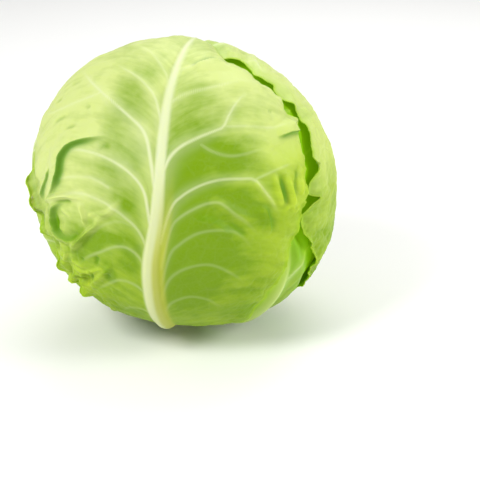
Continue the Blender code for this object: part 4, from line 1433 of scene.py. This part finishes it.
class CABBAGE_OT_stage(bpy.types.Operator):
    """Add the pale floor, the soft studio lights and the camera"""

    bl_idname = "cabbage.stage"
    bl_label = "Add Stage"

    def execute(self, context):
        scene, colours = context.scene, context.scene.cabbage_colours
        # Seamless studio paper, matte: it gives no gloss, only a soft shadow
        material, _, shader = new_material("matte_paper_floor")
        shader.inputs["Base Color"].default_value = (*colours.floor, 1.0)
        shader.inputs["Roughness"].default_value = 0.9
        half = FLOOR_HALF
        corners = [(-half, -half, 0.0), (half, -half, 0.0), (half, half, 0.0), (-half, half, 0.0)]
        mesh = bpy.data.meshes.new("floor")
        mesh.from_pydata(corners, [], [(0, 1, 2, 3)])
        mesh.materials.append(material)
        floor = bpy.data.objects.new("floor", mesh)
        scene.collection.objects.link(floor)

        world = bpy.data.worlds.new("studio")
        world.use_nodes = True
        background = world.node_tree.nodes["Background"]
        background.inputs["Color"].default_value = (1.0, 1.0, 1.0, 1.0)
        background.inputs["Strength"].default_value = DAYLIGHT
        scene.world = world
        for name, place, size, power in SOFTBOXES:
            lamp = bpy.data.lights.new(name, "AREA")
            lamp.size = size
            lamp.energy = power
            holder = bpy.data.objects.new(name, lamp)
            holder.location = place
            way = LIGHT_AIM - Vector(place)
            holder.rotation_euler = way.to_track_quat("-Z", "Y").to_euler()
            scene.collection.objects.link(holder)

        lens = bpy.data.cameras.new("camera")
        lens.lens = 100.0
        lens.sensor_width = 36.0
        camera = bpy.data.objects.new("camera", lens)
        look = Matrix.Rotation(math.pi / 2 - CAMERA_TILT, 4, "X")
        camera.matrix_world = Matrix.Translation(CAMERA_PLACE) @ look
        scene.collection.objects.link(camera)
        scene.camera = camera
        scene.view_settings.view_transform = "Standard"
        return {"FINISHED"}


class CABBAGE_PT_panel(bpy.types.Panel):
    """Sizes, colours and building steps of the cabbage head"""

    bl_idname = "CABBAGE_PT_panel"
    bl_label = "Cabbage Head"
    bl_space_type = "VIEW_3D"
    bl_region_type = "UI"
    bl_category = "Cabbage"

    def draw(self, context):
        layout = self.layout
        for group in (context.scene.cabbage_sizes, context.scene.cabbage_colours):
            box = layout.box()
            for key in group.__annotations__:
                box.prop(group, key)
        for operator in BUILDERS:
            layout.operator(operator.bl_idname)


BUILDERS = (CABBAGE_OT_stalk, CABBAGE_OT_heart, CABBAGE_OT_leaves, CABBAGE_OT_stage)
CLASSES = (HeadSizes, HeadColours, *BUILDERS, CABBAGE_PT_panel)


def register():
    """Registers the classes, and gives each scene the cabbage's sizes and colours."""
    for cls in CLASSES:
        bpy.utils.register_class(cls)
    bpy.types.Scene.cabbage_sizes = bpy.props.PointerProperty(type=HeadSizes)
    bpy.types.Scene.cabbage_colours = bpy.props.PointerProperty(type=HeadColours)


def unregister():
    """Takes back what register did."""
    del bpy.types.Scene.cabbage_sizes
    del bpy.types.Scene.cabbage_colours
    for cls in reversed(CLASSES):
        bpy.utils.unregister_class(cls)


def main():
    """Builds the head and its stage."""
    register()
    bpy.ops.cabbage.stalk()
    bpy.ops.cabbage.heart()
    bpy.ops.cabbage.leaves()
    bpy.ops.cabbage.stage()


if __name__ == "__main__":
    main()
